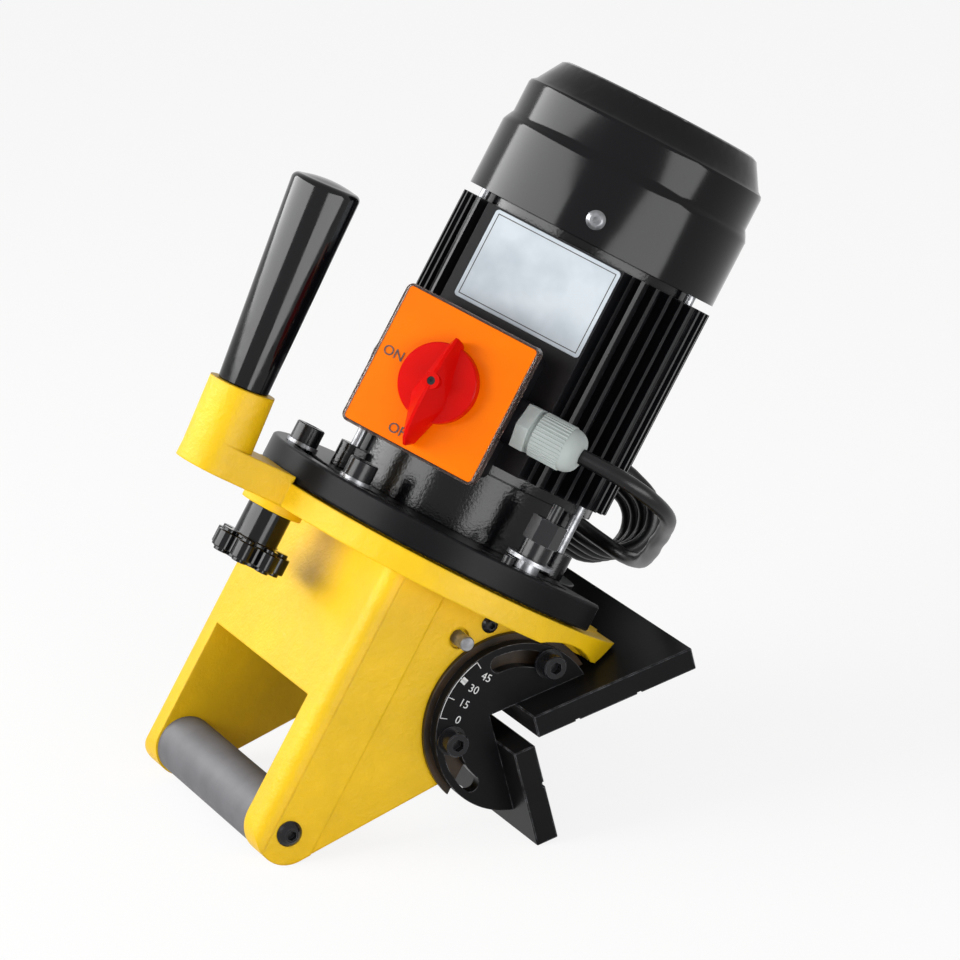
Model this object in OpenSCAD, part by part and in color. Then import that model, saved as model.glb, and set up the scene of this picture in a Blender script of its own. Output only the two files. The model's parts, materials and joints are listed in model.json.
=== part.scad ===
// Portable chamfering machine: an upright motor on an eccentric depth ring,
// a cast base with two cheeks, and a V of two guide plates that swings on quadrants.
// Machine frame: Z runs up the bore of the base, X points to the V, the base is
// symmetric about Y = 0 and its plate's top face is Z = 0. stand() then leans
// the machine as it rests on its cheek ends and its lower guide.

/* [Base casting] */
// Radius of the round top plate
plate_r = 109; // [106:0.5:116]
// Thickness of the top plate
plate_t = 13; // [10:0.5:15]
// Half of the width over the two cheeks
cheek_out = 79; // [76:0.5:84]
// Thickness of a cheek
cheek_t = 18; // [14:0.5:20]
// Rounding of the cheeks' outer left corners
cheek_round = 9; // [5:0.5:12]
// Distance of the left wall's outer face from the bore
web_x = 65; // [62:0.5:68]
// Thickness of the left wall
web_t = 15; // [8:0.5:16]
// Depth of the left wall's lower edge under the plate's top
web_drop = 92; // [84:1:98]
// Radius of the bore that the depth ring turns in
register_r = 58; // [54:0.5:60]
// Distance of the lower edge's inner end from the bore
toe_x = 22; // [14:1:25]
// Depth of the lower edge's inner end
toe_drop = 103; // [98:1:110]

/* [Lower grip] */
// Distance of the grip's axis from the bore
grip_x = 47.5; // [44:0.5:50]
// Depth of the grip's axis under the plate's top
grip_drop = 160; // [150:1:175]
// Radius of the cheeks' rounded ends
cheek_end_r = 17.5; // [16.5:0.5:20]
// Radius of the rubber sleeve
sleeve_r = 16.5; // [14:0.5:17]
// Radius of the steel rod in the sleeve
grip_rod_r = 12.5; // [8:0.5:13]

/* [Side handle] */
// Distance of the handle's boss from the bore
arm_x = 145; // [138:1:155]
// Width of the arm that carries the boss
arm_w = 37; // [30:1:42]
// Height of the arm's pad over the plate's top
arm_rise = 4; // [2:0.5:6]
// Radius of the boss
boss_r = 18; // [17:0.5:21]
// Height of the boss over the plate's top
boss_h = 34; // [26:1:40]
// Outward lean of the boss and the handle, degrees
handle_lean = 5; // [0:0.5:8]
// Radius of the handle at its foot
handle_foot_r = 14.5; // [13:0.5:17]
// Largest radius of the handle, near its top
handle_top_r = 19; // [16:0.5:21]
// Length of the handle
handle_len = 116; // [100:1:130]
// Radius of the handle's stud
handle_stud_r = 6; // [5:0.5:8]

/* [Clamp knob] */
// Distance of the clamp knob's axis from the bore
knob_x = 101; // [97:0.5:104]
// Radius of the star knob over its lobes
star_r = 21.5; // [18:0.5:24]
// Thickness of the star knob
star_t = 13; // [10:0.5:16]
// Number of lobes
star_lobes = 7; // [5:1:9]
// Radius of the knob's neck
neck_r = 12.3; // [10:0.1:13.5]
// Length of the knob's neck
neck_len = 18; // [14:0.5:22]

/* [V guides] */
// Distance of the V's apex from the bore
apex_x = 40; // [38:0.5:42]
// Depth of the V's apex under the plate's top
apex_drop = 60.5; // [58:0.5:64]
// Thickness of both guide plates
guide_t = 12.5; // [11:0.5:13]
// Distance that the guides stand out past the plate on both sides
guide_proud = 1; // [0:0.5:6]
// Reach of the upper guide from the apex
upper_reach = 98.5; // [90:0.5:104]
// Reach of the lower guide from the apex
lower_reach = 58.5; // [54:0.5:62]
// Distance of both guides' inner ends from the apex
guide_start = 3; // [2:0.25:4]
// Width of the chip grooves in the guides' working faces
groove_w = 3; // [2:0.25:4]
// Depth of the chip grooves
groove_d = 1.2; // [0.6:0.1:2]

/* [Quadrants] */
// Radius of the fixed wear discs on the cheeks
wear_r = 50; // [49:0.25:52]
// Thickness of a wear disc
wear_t = 3; // [2:0.25:4]
// Radius of the swinging quadrants
quadrant_r = 46.25; // [44:0.25:47]
// Thickness of a quadrant
quadrant_t = 6.5; // [6:0.25:8]
// Radius of the quadrants' arc slots
slot_r = 37.8; // [36:0.1:38.5]
// Width of the arc slots
slot_w = 9; // [8.6:0.1:9.5]
// Swing from a 45 degree chamfer down to none, degrees
swing = 45; // [30:1:45]

/* [Depth ring] */
// Radius of the depth ring
ring_r = 106; // [102:0.5:108]
// Thickness of the depth ring over the plate
ring_t = 15; // [12:0.5:18]
// Gap between the ring and the plate
ring_gap = 1; // [0.6:0.1:1.5]
// Offset of the motor's axis from the bore
eccentric = 3; // [1:0.25:4]
// Turn of the ring to each side, degrees
ring_turn = 15; // [8:1:16]
// Radius of the circle of ring clamps
clamp_r = 90; // [88:0.5:92]
// Radius of the ring where it is cut back beside the upper guide
relief_r = 74; // [72:0.5:76]

/* [Motor] */
// Radius over the housing's fins
fin_r = 73.5; // [72:0.25:75]
// Radius of the housing's wall
frame_r = 66; // [65:0.25:68]
// Height of the housing's lower face over the plate
housing_low = 57; // [52:1:60]
// Length of the housing
housing_len = 120; // [110:1:140]
// Number of fin places round the housing
fin_count = 46; // [36:2:54]
// Radius of the circle of tie rods
rod_circle_r = 66.5; // [66:0.25:66.75]
// Radius of a tie rod
rod_r = 2.75; // [2.25:0.25:3]
// Radius of the front end shield
shield_r = 62; // [58:0.5:63]
// Radius of the rotor
rotor_r = 37; // [32:0.5:39]
// Radius of the shaft in the bearings
shaft_r = 10; // [9:0.5:10]
// Distance of the mounting pad's face from the motor's axis
pad_x = 72; // [70:0.5:74]
// Width of the mounting pad
pad_w = 82; // [78:1:86]

/* [Fan cover] */
// Radius of the fan cover's skirt
skirt_r = 72.6; // [72.5:0.1:74]
// Height of the skirt
skirt_h = 38; // [36:1:44]
// Radius of the upper tier
tier_r = 69.5; // [68:0.5:71]
// Height of the cover to the top of the tier
tier_h = 64; // [60:1:70]
// Radius of the flat top
cover_top_r = 57; // [52:0.5:62]
// Whole height of the cover
cover_h = 80; // [76:1:88]
// Thickness of the cover's sheet
sheet_t = 1.2; // [1:0.1:1.8]
// Gap between the housing and the cover
cover_gap = 5; // [3:0.5:7]

/* [Switch] */
// Side of the square switch plate's guard
guard_w = 79; // [72:1:84]
// Distance of the guard's front from the motor's axis
guard_x = 110; // [106:1:116]
// Sideways place of the switch box on the pad
switch_y = -9; // [-12:1:-4]
// Height of the switch's centre over the plate
switch_z = 83; // [80:1:88]
// Radius of the switch knob
dial_r = 21; // [18:0.5:24]

/* [Cutter] */
// Radius of the cutter body
cutter_r = 40; // [37:0.5:40]
// Radius that the inserts' edges run at
edge_r = 42; // [41:0.25:42]
// Thickness of the cutter body
cutter_t = 24; // [20:1:26]
// Number of inserts
insert_count = 5; // [3:1:6]

/* [Cable] */
// Diameter of the mains cable
cable_d = 8.5; // [7:0.1:8.6]
// Number of loops in the hank
hank_loops = 4; // [3:1:4]
// Length of the hank's straight runs
hank_run = 130; // [120:1:150]
// Bend radius of the hank's ends, to the cable's centre
hank_r = 21; // [20:0.5:26]
// Step from one loop to the next
hank_step = 9.2; // [9:0.1:11]

/* [Hidden] */

over = 1;          // overrun of every cut
gap = 0.3;         // clearance between pieces of different bodies
fit = 0.05;        // radial clearance of a running fit
ring_fit = 0.15;   // radial clearance of the depth ring in the bore
seat = 0.02;       // radial clearance of a pressed or screwed seat
fillet = 2;        // small edge rounding
bevel = 0.6;       // small edge chamfer
$fn = 96;

diagonal = sqrt(1 / 2);

// Stance: the machine rests on its cheeks' round ends and on the lower guide's back edge.
guide_half_w = plate_r + guide_proud;
rest_x = apex_x + (lower_reach - guide_t) * diagonal;
rest_z = -apex_drop - (lower_reach + guide_t) * diagonal;
rest_run = rest_x + grip_x;
rest_rise = rest_z + grip_drop;
lean = atan2(rest_rise, rest_run) + asin(cheek_end_r / norm([rest_run, rest_rise]));
floor_z = -grip_x * -sin(lean) - grip_drop * cos(lean) - cheek_end_r;
boss_foot_x = arm_x + arm_w / 2;
far_left = -boss_foot_x * cos(lean) - plate_t * sin(lean);
cover_z = housing_low + housing_len + cover_gap;
far_right = (tier_r - bevel) * cos(lean) + (cover_z + tier_h - bevel) * sin(lean);
stand_x = -(far_left + far_right) / 2;
stand_z = -floor_z;
// The cable gland reaches out furthest on the near side, the guides on the far side.
gland_boss_h = 8;
gland_hex_h = 7.5;
gland_neck_h = 2;
gland_cap_h = 18;
gland_dome_h = 8;
gland_tip_r = 8;
gland_x = 88;
box_w = 70;
gland_y = switch_y + box_w / 2 + gland_boss_h;
gland_tip_y = gland_y + gland_hex_h + gland_neck_h + gland_cap_h + gland_dome_h;
near_y = eccentric - (gland_x + gland_tip_y + gland_tip_r) * diagonal;
stand_y = -(near_y + guide_half_w) / 2;

module stand() {
    translate([stand_x, stand_y, stand_z]) rotate([0, lean, 0]) children();
}

// Motor frame: the axis is eccentric to the bore by this offset.
module motor() {
    translate([0, eccentric, 0]) children();
}

// Directions round the bore, degrees from +X.
rod_mid = -123.5;      // between the two tie rods on the near side
rod_spread = 66;       // from there to each of the two
rod_angles = [rod_mid - rod_spread, rod_mid + rod_spread, rod_mid + 180];
cover_angles = [rod_mid, rod_mid + 120, rod_mid - 120];
pad_angle = -135;
screw_clamp_angles = [-157.5, 157.5];
stud_clamp_angles = [-90, 90];
relief_half = 48;                // the ring is cut back this far beside the upper guide
relief_angle = relief_half + ring_turn;

module around(angles) {
    for (a = angles) rotate([0, 0, a]) children();
}

// Lies a profile drawn in X and Z flat in the plane Y = y, thick towards +Y.
module upright(y, thick) {
    translate([0, y + thick, 0]) rotate([90, 0, 0]) linear_extrude(thick) children();
}

module both_sides() {
    children();
    mirror([0, 1, 0]) children();
}

module ring_2d(outer, inner) {
    difference() {
        circle(outer);
        circle(inner);
    }
}

module tube(outer, inner, height) {
    linear_extrude(height) ring_2d(outer, inner);
}

module pie_2d(radius, from, to, steps = 12) {
    polygon(concat([[0, 0]], [for (i = [0 : steps]) let (a = from + (to - from) * i / steps)
        [radius * cos(a), radius * sin(a)]]));
}

module arc_slot_2d(radius, width, from, to) {
    reach = radius + width;
    steep = 1 / cos((to - from) / 24);
    intersection() {
        ring_2d(radius + width / 2, radius - width / 2);
        pie_2d(reach * steep, from, to);
    }
    for (a = [from, to]) rotate(a) translate([radius, 0]) circle(width / 2 + seat);
}

module rounded_2d(w, h, r) {
    for (s = [-1, 1], u = [-1, 1]) translate([s * (w / 2 - r), u * (h / 2 - r)]) circle(r, $fn = 48);
    square([w - 2 * r, h], center = true);
    square([w, h - 2 * r], center = true);
}

module socket_head(head_r, head_h, key_r) {
    difference() {
        union() {
            cylinder(r = head_r, h = head_h - bevel);
            translate([0, 0, head_h - bevel]) cylinder(r1 = head_r, r2 = head_r - bevel, h = bevel);
        }
        translate([0, 0, head_h / 2]) cylinder(r = key_r, h = head_h, $fn = 6);
    }
}

module button_head(head_r, head_h, key_r) {
    rim_share = 0.35;
    top_share = 0.55;
    difference() {
        rotate_extrude() polygon([[0, 0], [head_r, 0], [head_r, head_h * rim_share],
            [head_r * (1 + top_share) / 2, head_h * (1 + rim_share) / 2 + bevel / 2],
            [head_r * top_share, head_h], [0, head_h]]);
        translate([0, 0, head_h * rim_share]) cylinder(r = key_r, h = head_h, $fn = 6);
    }
}

// Base casting
guide_gap = 2;                       // between the upper guide's back and the casting
swing_gap = 1.5;                     // between the swung lower guide and the cheeks
disc_gap = 2.5;                      // round the wear disc under the plate
land_r = 96;                         // raised land that the ring turns on
land_play = 0.1;                     // between the land and the ring
web_round = 6;                       // inner corners of the wall
knob_boss_r = 17;
knob_boss_h = 5;
clamp_stud_r = 5;
clamp_bolt_r = 5;                    // studs and screws of the ring clamps
quadrant_bolt_r = 4;
screw_angles = [91, 212];            // of the quadrant screws about the apex
pin_angle = 149.6;                   // of the index pin about the apex
pin_circle_r = 57.7;
index_pin_r = 4;
pin_well_r = 5.6;
pin_well_d = 3;
pin_depth = 10;
cheek_screw_x = 2.5;
cheek_screw_drop = 18;
cheek_screw_r = 3;
grip_screw_r = 4;
stud_depth = 30;                     // of the handle's stud in the boss
under_x = apex_x - guide_t - swing_gap;
cheek_in = cheek_out - cheek_t;

// X of the casting's slanting face behind the upper guide, at height z.
function behind_x(z) = apex_x + apex_drop + z - (guide_t + guide_gap) / diagonal;
function on_apex(r, a) = [apex_x + r * cos(a), -apex_drop + r * sin(a)];

toe = [toe_x, -toe_drop];
end_centre = [-grip_x, -grip_drop];
toe_span = norm(end_centre - toe);
heel_r = cheek_end_r - seat;         // the lower edge runs into the round end, not just past it
toe_dir = atan2(end_centre[1] - toe[1], end_centre[0] - toe[0]) + asin(heel_r / toe_span);
toe_len = sqrt(toe_span * toe_span - heel_r * heel_r);
heel = toe + toe_len * [cos(toe_dir), sin(toe_dir)];
shoulder_z = under_x - behind_x(0);

module cheek_2d() {
    top = -plate_t / 2;
    polygon([[-web_x, top], [-web_x, -grip_drop], end_centre, heel, toe,
        [under_x, -toe_drop + under_x - toe_x], [under_x, shoulder_z], [behind_x(top), top]]);
    translate(end_centre) circle(cheek_end_r);
}

module walls_2d() {
    difference() {
        union() {
            translate([-web_x + cheek_round, -cheek_out]) square([plate_r, 2 * cheek_out]);
            translate([-web_x, -cheek_out + cheek_round])
                square([plate_r, 2 * (cheek_out - cheek_round)]);
            for (s = [-1, 1]) translate([-web_x + cheek_round, s * (cheek_out - cheek_round)])
                circle(cheek_round);
        }
        translate([-web_x + web_t + web_round, -cheek_in]) square([2 * plate_r, 2 * cheek_in]);
        translate([-web_x + web_t, -cheek_in + web_round])
            square([plate_r, 2 * (cheek_in - web_round)]);
        for (s = [-1, 1]) translate([-web_x + web_t + web_round, s * (cheek_in - web_round)])
            circle(web_round);
    }
}

module walls() {
    low = grip_drop + cheek_end_r;
    intersection() {
        translate([0, 0, -low - over]) linear_extrude(low + over - plate_t / 2) walls_2d();
        union() {
            both_sides() upright(-cheek_out, cheek_t) cheek_2d();
            upright(-cheek_in, 2 * cheek_in) translate([-web_x, -web_drop])
                square([web_t + web_round, web_drop - plate_t / 2]);
        }
    }
}

module arm_2d() {
    translate([-arm_x, 0]) circle(arm_w / 2);
    translate([-arm_x, -arm_w / 2]) square([arm_x - web_x, arm_w]);
}

boss_foot_z = -plate_t + boss_r * sin(handle_lean) + bevel;
boss_len = boss_h - boss_foot_z;
module leaned_boss(r, h, from = 0) {
    translate([-arm_x, 0, boss_foot_z]) rotate([0, -handle_lean, 0])
        translate([0, 0, from]) cylinder(r = r, h = h);
}

module apex_hole(r, from, depth) {
    translate([apex_x, from, -apex_drop]) rotate([90, 0, 0]) cylinder(r = r, h = depth);
}

module base_casting() {
    color("gold") stand() difference() {
        union() {
            translate([0, 0, -plate_t]) cylinder(r = plate_r, h = plate_t);
            cylinder(r = land_r, h = ring_gap - land_play);
            walls();
            difference() {
                translate([0, 0, -plate_t]) linear_extrude(plate_t + arm_rise) arm_2d();
                cylinder(r = ring_r + guide_gap, h = arm_rise + over);
            }
            leaned_boss(boss_r, boss_len);
            translate([-knob_x, 0, -plate_t - knob_boss_h]) cylinder(r = knob_boss_r, h = plate_t);
        }
        translate([0, 0, -plate_t - over]) cylinder(r = register_r, h = plate_t + 2 * over + ring_gap);
        upright(-plate_r - over, 2 * (plate_r + over))
            polygon([[behind_x(-apex_drop), -apex_drop], [behind_x(arm_rise), arm_rise],
                [2 * plate_r, arm_rise], [2 * plate_r, -apex_drop]]);
        both_sides() apex_hole(wear_r + disc_gap, -cheek_out, plate_r);
        leaned_boss(handle_stud_r + seat, stud_depth + over, boss_len - stud_depth);
        translate([-knob_x, 0, -plate_t - knob_boss_h - over])
            cylinder(r = clamp_stud_r + fit, h = plate_t + knob_boss_h + ring_gap + 2 * over);
        around(concat(screw_clamp_angles, stud_clamp_angles)) translate([clamp_r, 0, -plate_t - over])
            cylinder(r = clamp_bolt_r + seat, h = plate_t + 2 * over + ring_gap);
        both_sides() {
            for (a = screw_angles) translate([on_apex(slot_r, a)[0], -cheek_out + cheek_t + over,
                on_apex(slot_r, a)[1]]) rotate([90, 0, 0])
                cylinder(r = quadrant_bolt_r + seat, h = cheek_t + 2 * over);
            translate([on_apex(pin_circle_r, pin_angle)[0], -cheek_out + pin_depth,
                on_apex(pin_circle_r, pin_angle)[1]]) rotate([90, 0, 0])
                cylinder(r = index_pin_r + seat, h = pin_depth + over);
            translate([on_apex(pin_circle_r, pin_angle)[0], -cheek_out + pin_well_d,
                on_apex(pin_circle_r, pin_angle)[1]]) rotate([90, 0, 0])
                cylinder(r = pin_well_r, h = pin_well_d + over);
            translate([-grip_x, -cheek_in + over, -grip_drop]) rotate([90, 0, 0])
                cylinder(r = grip_screw_r + seat, h = cheek_t + 2 * over);
        }
        translate([cheek_screw_x, -cheek_in + over, -cheek_screw_drop]) rotate([90, 0, 0])
            cylinder(r = cheek_screw_r + seat, h = cheek_t + 2 * over);
    }
}

// Fixed discs on the cheeks, with their screws and index pins
module wear_disc() {
    upright(-cheek_out - wear_t, wear_t) difference() {
        translate([apex_x, -apex_drop]) circle(wear_r);
        polygon([[under_x, shoulder_z], [under_x + wear_r, shoulder_z + wear_r],
            [2 * plate_r, shoulder_z + wear_r], [2 * plate_r, -2 * toe_drop],
            [under_x, -2 * toe_drop]]);
        for (a = screw_angles) translate(on_apex(slot_r, a)) circle(quadrant_bolt_r + seat);
    }
}
module wear_disc_near() color("dimgray") stand() wear_disc();
module wear_disc_far() color("dimgray") stand() mirror([0, 1, 0]) wear_disc();

index_pin_out = 10;
module index_pins() {
    place = on_apex(pin_circle_r, pin_angle);
    color("silver") stand() both_sides() translate([place[0], -cheek_out + pin_depth, place[1]])
        rotate([90, 0, 0]) {
            cylinder(r = index_pin_r, h = pin_depth + index_pin_out - bevel);
            translate([0, 0, pin_depth + index_pin_out - bevel])
                cylinder(r1 = index_pin_r, r2 = index_pin_r - bevel, h = bevel);
        }
}

quadrant_gap = 0.1;                  // between a wear disc and its quadrant
quadrant_y = cheek_out + wear_t + quadrant_gap;
washer_r = 8;
washer_t = 1.6;
m8_head_r = 6.5;
m8_head_h = 8;
m8_key_r = 3.5;
head_y = quadrant_y + quadrant_t + quadrant_gap + washer_t;
module at_quadrant_screws() {
    both_sides() for (a = screw_angles)
        translate([on_apex(slot_r, a)[0], -head_y, on_apex(slot_r, a)[1]]) rotate([90, 0, 0]) children();
}
module quadrant_screws() {
    shank = head_y - cheek_in;
    color("dimgray") stand() at_quadrant_screws() {
        socket_head(m8_head_r, m8_head_h, m8_key_r);
        translate([0, 0, -shank]) cylinder(r = quadrant_bolt_r, h = shank);
    }
}
module quadrant_washers() {
    color("dimgray") stand() at_quadrant_screws() translate([0, 0, -washer_t])
        tube(washer_r, quadrant_bolt_r + seat, washer_t);
}

cheek_head_r = 4.6;
cheek_head_h = 3;
cheek_key_r = 2;
module register_screw() {
    color("silver") stand() translate([cheek_screw_x, -cheek_out, -cheek_screw_drop])
        rotate([90, 0, 0]) {
            button_head(cheek_head_r, cheek_head_h, cheek_key_r);
            translate([0, 0, -cheek_t]) cylinder(r = cheek_screw_r, h = cheek_t);
        }
}

// Lower grip between the cheeks
grip_head_r = 7;
grip_head_h = 4.4;
grip_key_r = 2.9;
grip_screw_len = 36;
module grip_sleeve() {
    long = 2 * cheek_in;
    color("darkgray") stand() translate([-grip_x, cheek_in, -grip_drop]) rotate([90, 0, 0])
        tube(sleeve_r, grip_rod_r + seat, long);
}
module grip_rod() {
    color("silver") stand() translate([-grip_x, cheek_in, -grip_drop]) rotate([90, 0, 0])
        difference() {
            cylinder(r = grip_rod_r, h = 2 * cheek_in);
            for (z = [-over, 2 * cheek_in - grip_screw_len + cheek_t]) translate([0, 0, z])
                cylinder(r = grip_screw_r + seat, h = grip_screw_len - cheek_t + over);
        }
}
module grip_screws() {
    color("silver") stand() both_sides() translate([-grip_x, -cheek_out, -grip_drop])
        rotate([90, 0, 0]) {
            button_head(grip_head_r, grip_head_h, grip_key_r);
            translate([0, 0, -grip_screw_len]) cylinder(r = grip_screw_r, h = grip_screw_len);
        }
}

// Side handle on its stud
handle_stud_in = 40;
collar_share = 0.06;
neck_share = 0.97;                   // of the foot's radius, behind the collar
handle_edge = 3.5;                   // rounding of the top's edge
handle_crown = 2;                    // rise of the top to its middle
crown_shares = [[0.75, 0.35], [0.45, 0]];  // shares of the radius, and of the rise still to go
module side_handle() {
    shoulder = handle_len - handle_crown - handle_edge;
    edge = [for (a = [0 : 15 : 90]) [handle_top_r - handle_edge * (1 - cos(a)), shoulder + handle_edge * sin(a)]];
    color("dimgray") stand() leaned_at_boss_top() difference() {
        rotate_extrude() polygon(concat([[0, 0], [handle_foot_r, 0],
            [handle_foot_r, handle_len * collar_share],
            [handle_foot_r * neck_share, handle_len * collar_share + bevel]],
            edge, [for (c = crown_shares) [handle_top_r * c[0], handle_len - handle_crown * c[1]]],
            [[0, handle_len]]));
        translate([0, 0, -over]) cylinder(r = handle_stud_r + seat, h = handle_stud_in + over);
    }
}
module leaned_at_boss_top() {
    translate([-arm_x, 0, boss_foot_z]) rotate([0, -handle_lean, 0])
        translate([0, 0, boss_len]) children();
}
module handle_stud() {
    color("silver") stand() leaned_at_boss_top() translate([0, 0, -stud_depth])
        cylinder(r = handle_stud_r, h = stud_depth + handle_stud_in);
}

// Ring clamps: two socket screws and two studs with tall nuts
ring_top = ring_gap + ring_t;
clamp_play = 0.1;                    // over the ring, so that it can turn
clamp_washer_r = 9;
clamp_washer_t = 2;
clamp_head_r = 8;
clamp_head_h = 10;
clamp_key_r = 4.6;
bush_r = 6.4;
bush_h = 5;
wide_washer_r = 13.5;
wide_washer_t = 2;
nut_neck_r = 8.4;
nut_neck_h = 9;
nut_hex_r = 9.8;
nut_hex_h = 13;
stud_tip_r = 3.3;
stud_tip_h = 9;
clamp_seat_z = ring_top + clamp_play;
nut_z = clamp_seat_z + bush_h + wide_washer_t;
nut_top_z = nut_z + nut_neck_h + nut_hex_h;
module ring_screws() {
    head_z = clamp_seat_z + clamp_washer_t;
    color("dimgray") stand() around(screw_clamp_angles) translate([clamp_r, 0, 0]) {
        translate([0, 0, head_z]) socket_head(clamp_head_r, clamp_head_h, clamp_key_r);
        translate([0, 0, -plate_t]) cylinder(r = clamp_bolt_r, h = plate_t + head_z);
    }
}
module ring_studs() {
    color("silver") stand() around(stud_clamp_angles) translate([clamp_r, 0, 0]) {
        translate([0, 0, -plate_t]) cylinder(r = clamp_bolt_r, h = plate_t + nut_top_z);
        translate([0, 0, nut_top_z]) cylinder(r = stud_tip_r, h = stud_tip_h);
    }
}
module ring_washers() {
    color("silver") stand() {
        around(screw_clamp_angles) translate([clamp_r, 0, clamp_seat_z])
            tube(clamp_washer_r, clamp_bolt_r + seat, clamp_washer_t);
        around(stud_clamp_angles) translate([clamp_r, 0, clamp_seat_z]) {
            tube(bush_r, clamp_bolt_r + seat, bush_h);
            translate([0, 0, bush_h]) tube(wide_washer_r, clamp_bolt_r + seat, wide_washer_t);
        }
    }
}
module ring_nuts() {
    color("dimgray") stand() around(stud_clamp_angles) translate([clamp_r, 0, nut_z]) difference() {
        union() {
            cylinder(r = nut_neck_r, h = nut_neck_h);
            translate([0, 0, nut_neck_h]) intersection() {
                cylinder(r = nut_hex_r, h = nut_hex_h, $fn = 6);
                cylinder(r1 = nut_hex_r + nut_hex_h - bevel, r2 = nut_hex_r - bevel, h = nut_hex_h);
            }
        }
        translate([0, 0, -over]) cylinder(r = clamp_bolt_r + seat, h = nut_neck_h + nut_hex_h + 2 * over);
    }
}

// The swinging V: two quadrants and two guide plates
guide_screw_places = [18, 34];       // along a guide from the apex
guide_screw_r = 2;
guide_head_r = 4;
guide_head_h = 2.2;
guide_screw_in = 8;                  // into the quadrant's edge
key_share = 0.65;                    // of a small screw's head, for its socket
cutter_window = 18;                  // length of the cutter's window from the apex
cutter_window_half = 38;
upper_groove_shares = [0.25, 0.64];
lower_groove_shares = [0.42];
guide_screw_y = quadrant_y + quadrant_t / 2;

module quadrant() {
    notch = guide_t / diagonal;
    translate([apex_x, 0, -apex_drop]) difference() {
        upright(-quadrant_y - quadrant_t, quadrant_t) difference() {
            circle(quadrant_r);
            polygon([[-notch, 0], [-notch + quadrant_r, quadrant_r], [2 * quadrant_r, quadrant_r],
                [2 * quadrant_r, -quadrant_r], [-notch + quadrant_r, -quadrant_r]]);
            for (a = screw_angles) arc_slot_2d(slot_r, slot_w, a, a + swing);
        }
        for (turn = [-45, 45]) rotate([0, turn, 0]) for (s = guide_screw_places)
            translate([s, -guide_screw_y, turn < 0 ? guide_t - over : -guide_t - guide_screw_in])
                cylinder(r = guide_screw_r + seat, h = guide_screw_in + over);
    }
}
module quadrant_near() color("#2b2b2d") stand() quadrant();
module quadrant_far() color("#2b2b2d") stand() mirror([0, 1, 0]) quadrant();

module chamfered_box(size, c) {
    module face(w, h) polygon([[c, 0], [w - c, 0], [w, c], [w, h - c], [w - c, h], [c, h], [0, h - c], [0, c]]);
    intersection() {
        linear_extrude(size[2]) face(size[0], size[1]);
        translate([0, size[1], 0]) rotate([90, 0, 0]) linear_extrude(size[1]) face(size[0], size[2]);
        translate([0, 0, 0]) rotate([90, 0, 90]) linear_extrude(size[0]) face(size[1], size[2]);
    }
}

// A guide lies along +X from the apex, its working face on Z = 0 and its back above.
module guide(reach, groove_shares) {
    long = reach - guide_start;
    difference() {
        translate([guide_start, -guide_half_w, 0]) chamfered_box([long, 2 * guide_half_w, guide_t], bevel);
        translate([guide_start - over, -cutter_window_half, -over])
            cube([cutter_window - guide_start + over, 2 * cutter_window_half, guide_t + 2 * over]);
        for (share = groove_shares) translate([guide_start + long * share - groove_w / 2,
            -guide_half_w - over, -over]) cube([groove_w, 2 * guide_half_w + 2 * over, groove_d + over]);
        both_sides() for (s = guide_screw_places) translate([s, -guide_screw_y, -over]) {
            cylinder(r = guide_screw_r + seat, h = guide_t + 2 * over);
            cylinder(r1 = guide_head_r + seat + over, r2 = guide_screw_r, h = guide_head_h + over);
        }
    }
}
module on_upper() translate([apex_x, 0, -apex_drop]) rotate([0, -45, 0]) children();
module on_lower() translate([apex_x, 0, -apex_drop]) rotate([0, 45, 0]) mirror([0, 0, 1]) children();
module upper_guide() color("#2b2b2d") stand() on_upper() guide(upper_reach, upper_groove_shares);
module lower_guide() color("#2b2b2d") stand() on_lower() guide(lower_reach, lower_groove_shares);

module guide_screw_row() {
    both_sides() for (s = guide_screw_places) translate([s, -guide_screw_y, 0]) difference() {
        union() {
            cylinder(r1 = guide_head_r, r2 = guide_screw_r, h = guide_head_h);
            cylinder(r = guide_screw_r, h = guide_t + guide_screw_in);
        }
        translate([0, 0, -over]) cylinder(r = guide_screw_r * key_share, h = guide_head_h * key_share + over, $fn = 6);
    }
}
module guide_screws() {
    color("silver") stand() {
        on_upper() guide_screw_row();
        on_lower() guide_screw_row();
    }
}

// Depth ring, which carries the motor off its own centre
ring_bevel = 1;
register_short = 1;                  // the register ends this far inside the bore
shield_spigot_r = 45;
shield_spigot_h = 6;
shaft_hole_r = 22;
slot_play = 0.4;
stop_pin_r = 3.2;
stop_pin_circle_r = 99.5;
stop_pin_angle = -100;
stop_pin_in = 6;
stop_pin_h = 8;
spare_turn = 5;                      // of the screw slots past the studs' slots

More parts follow.
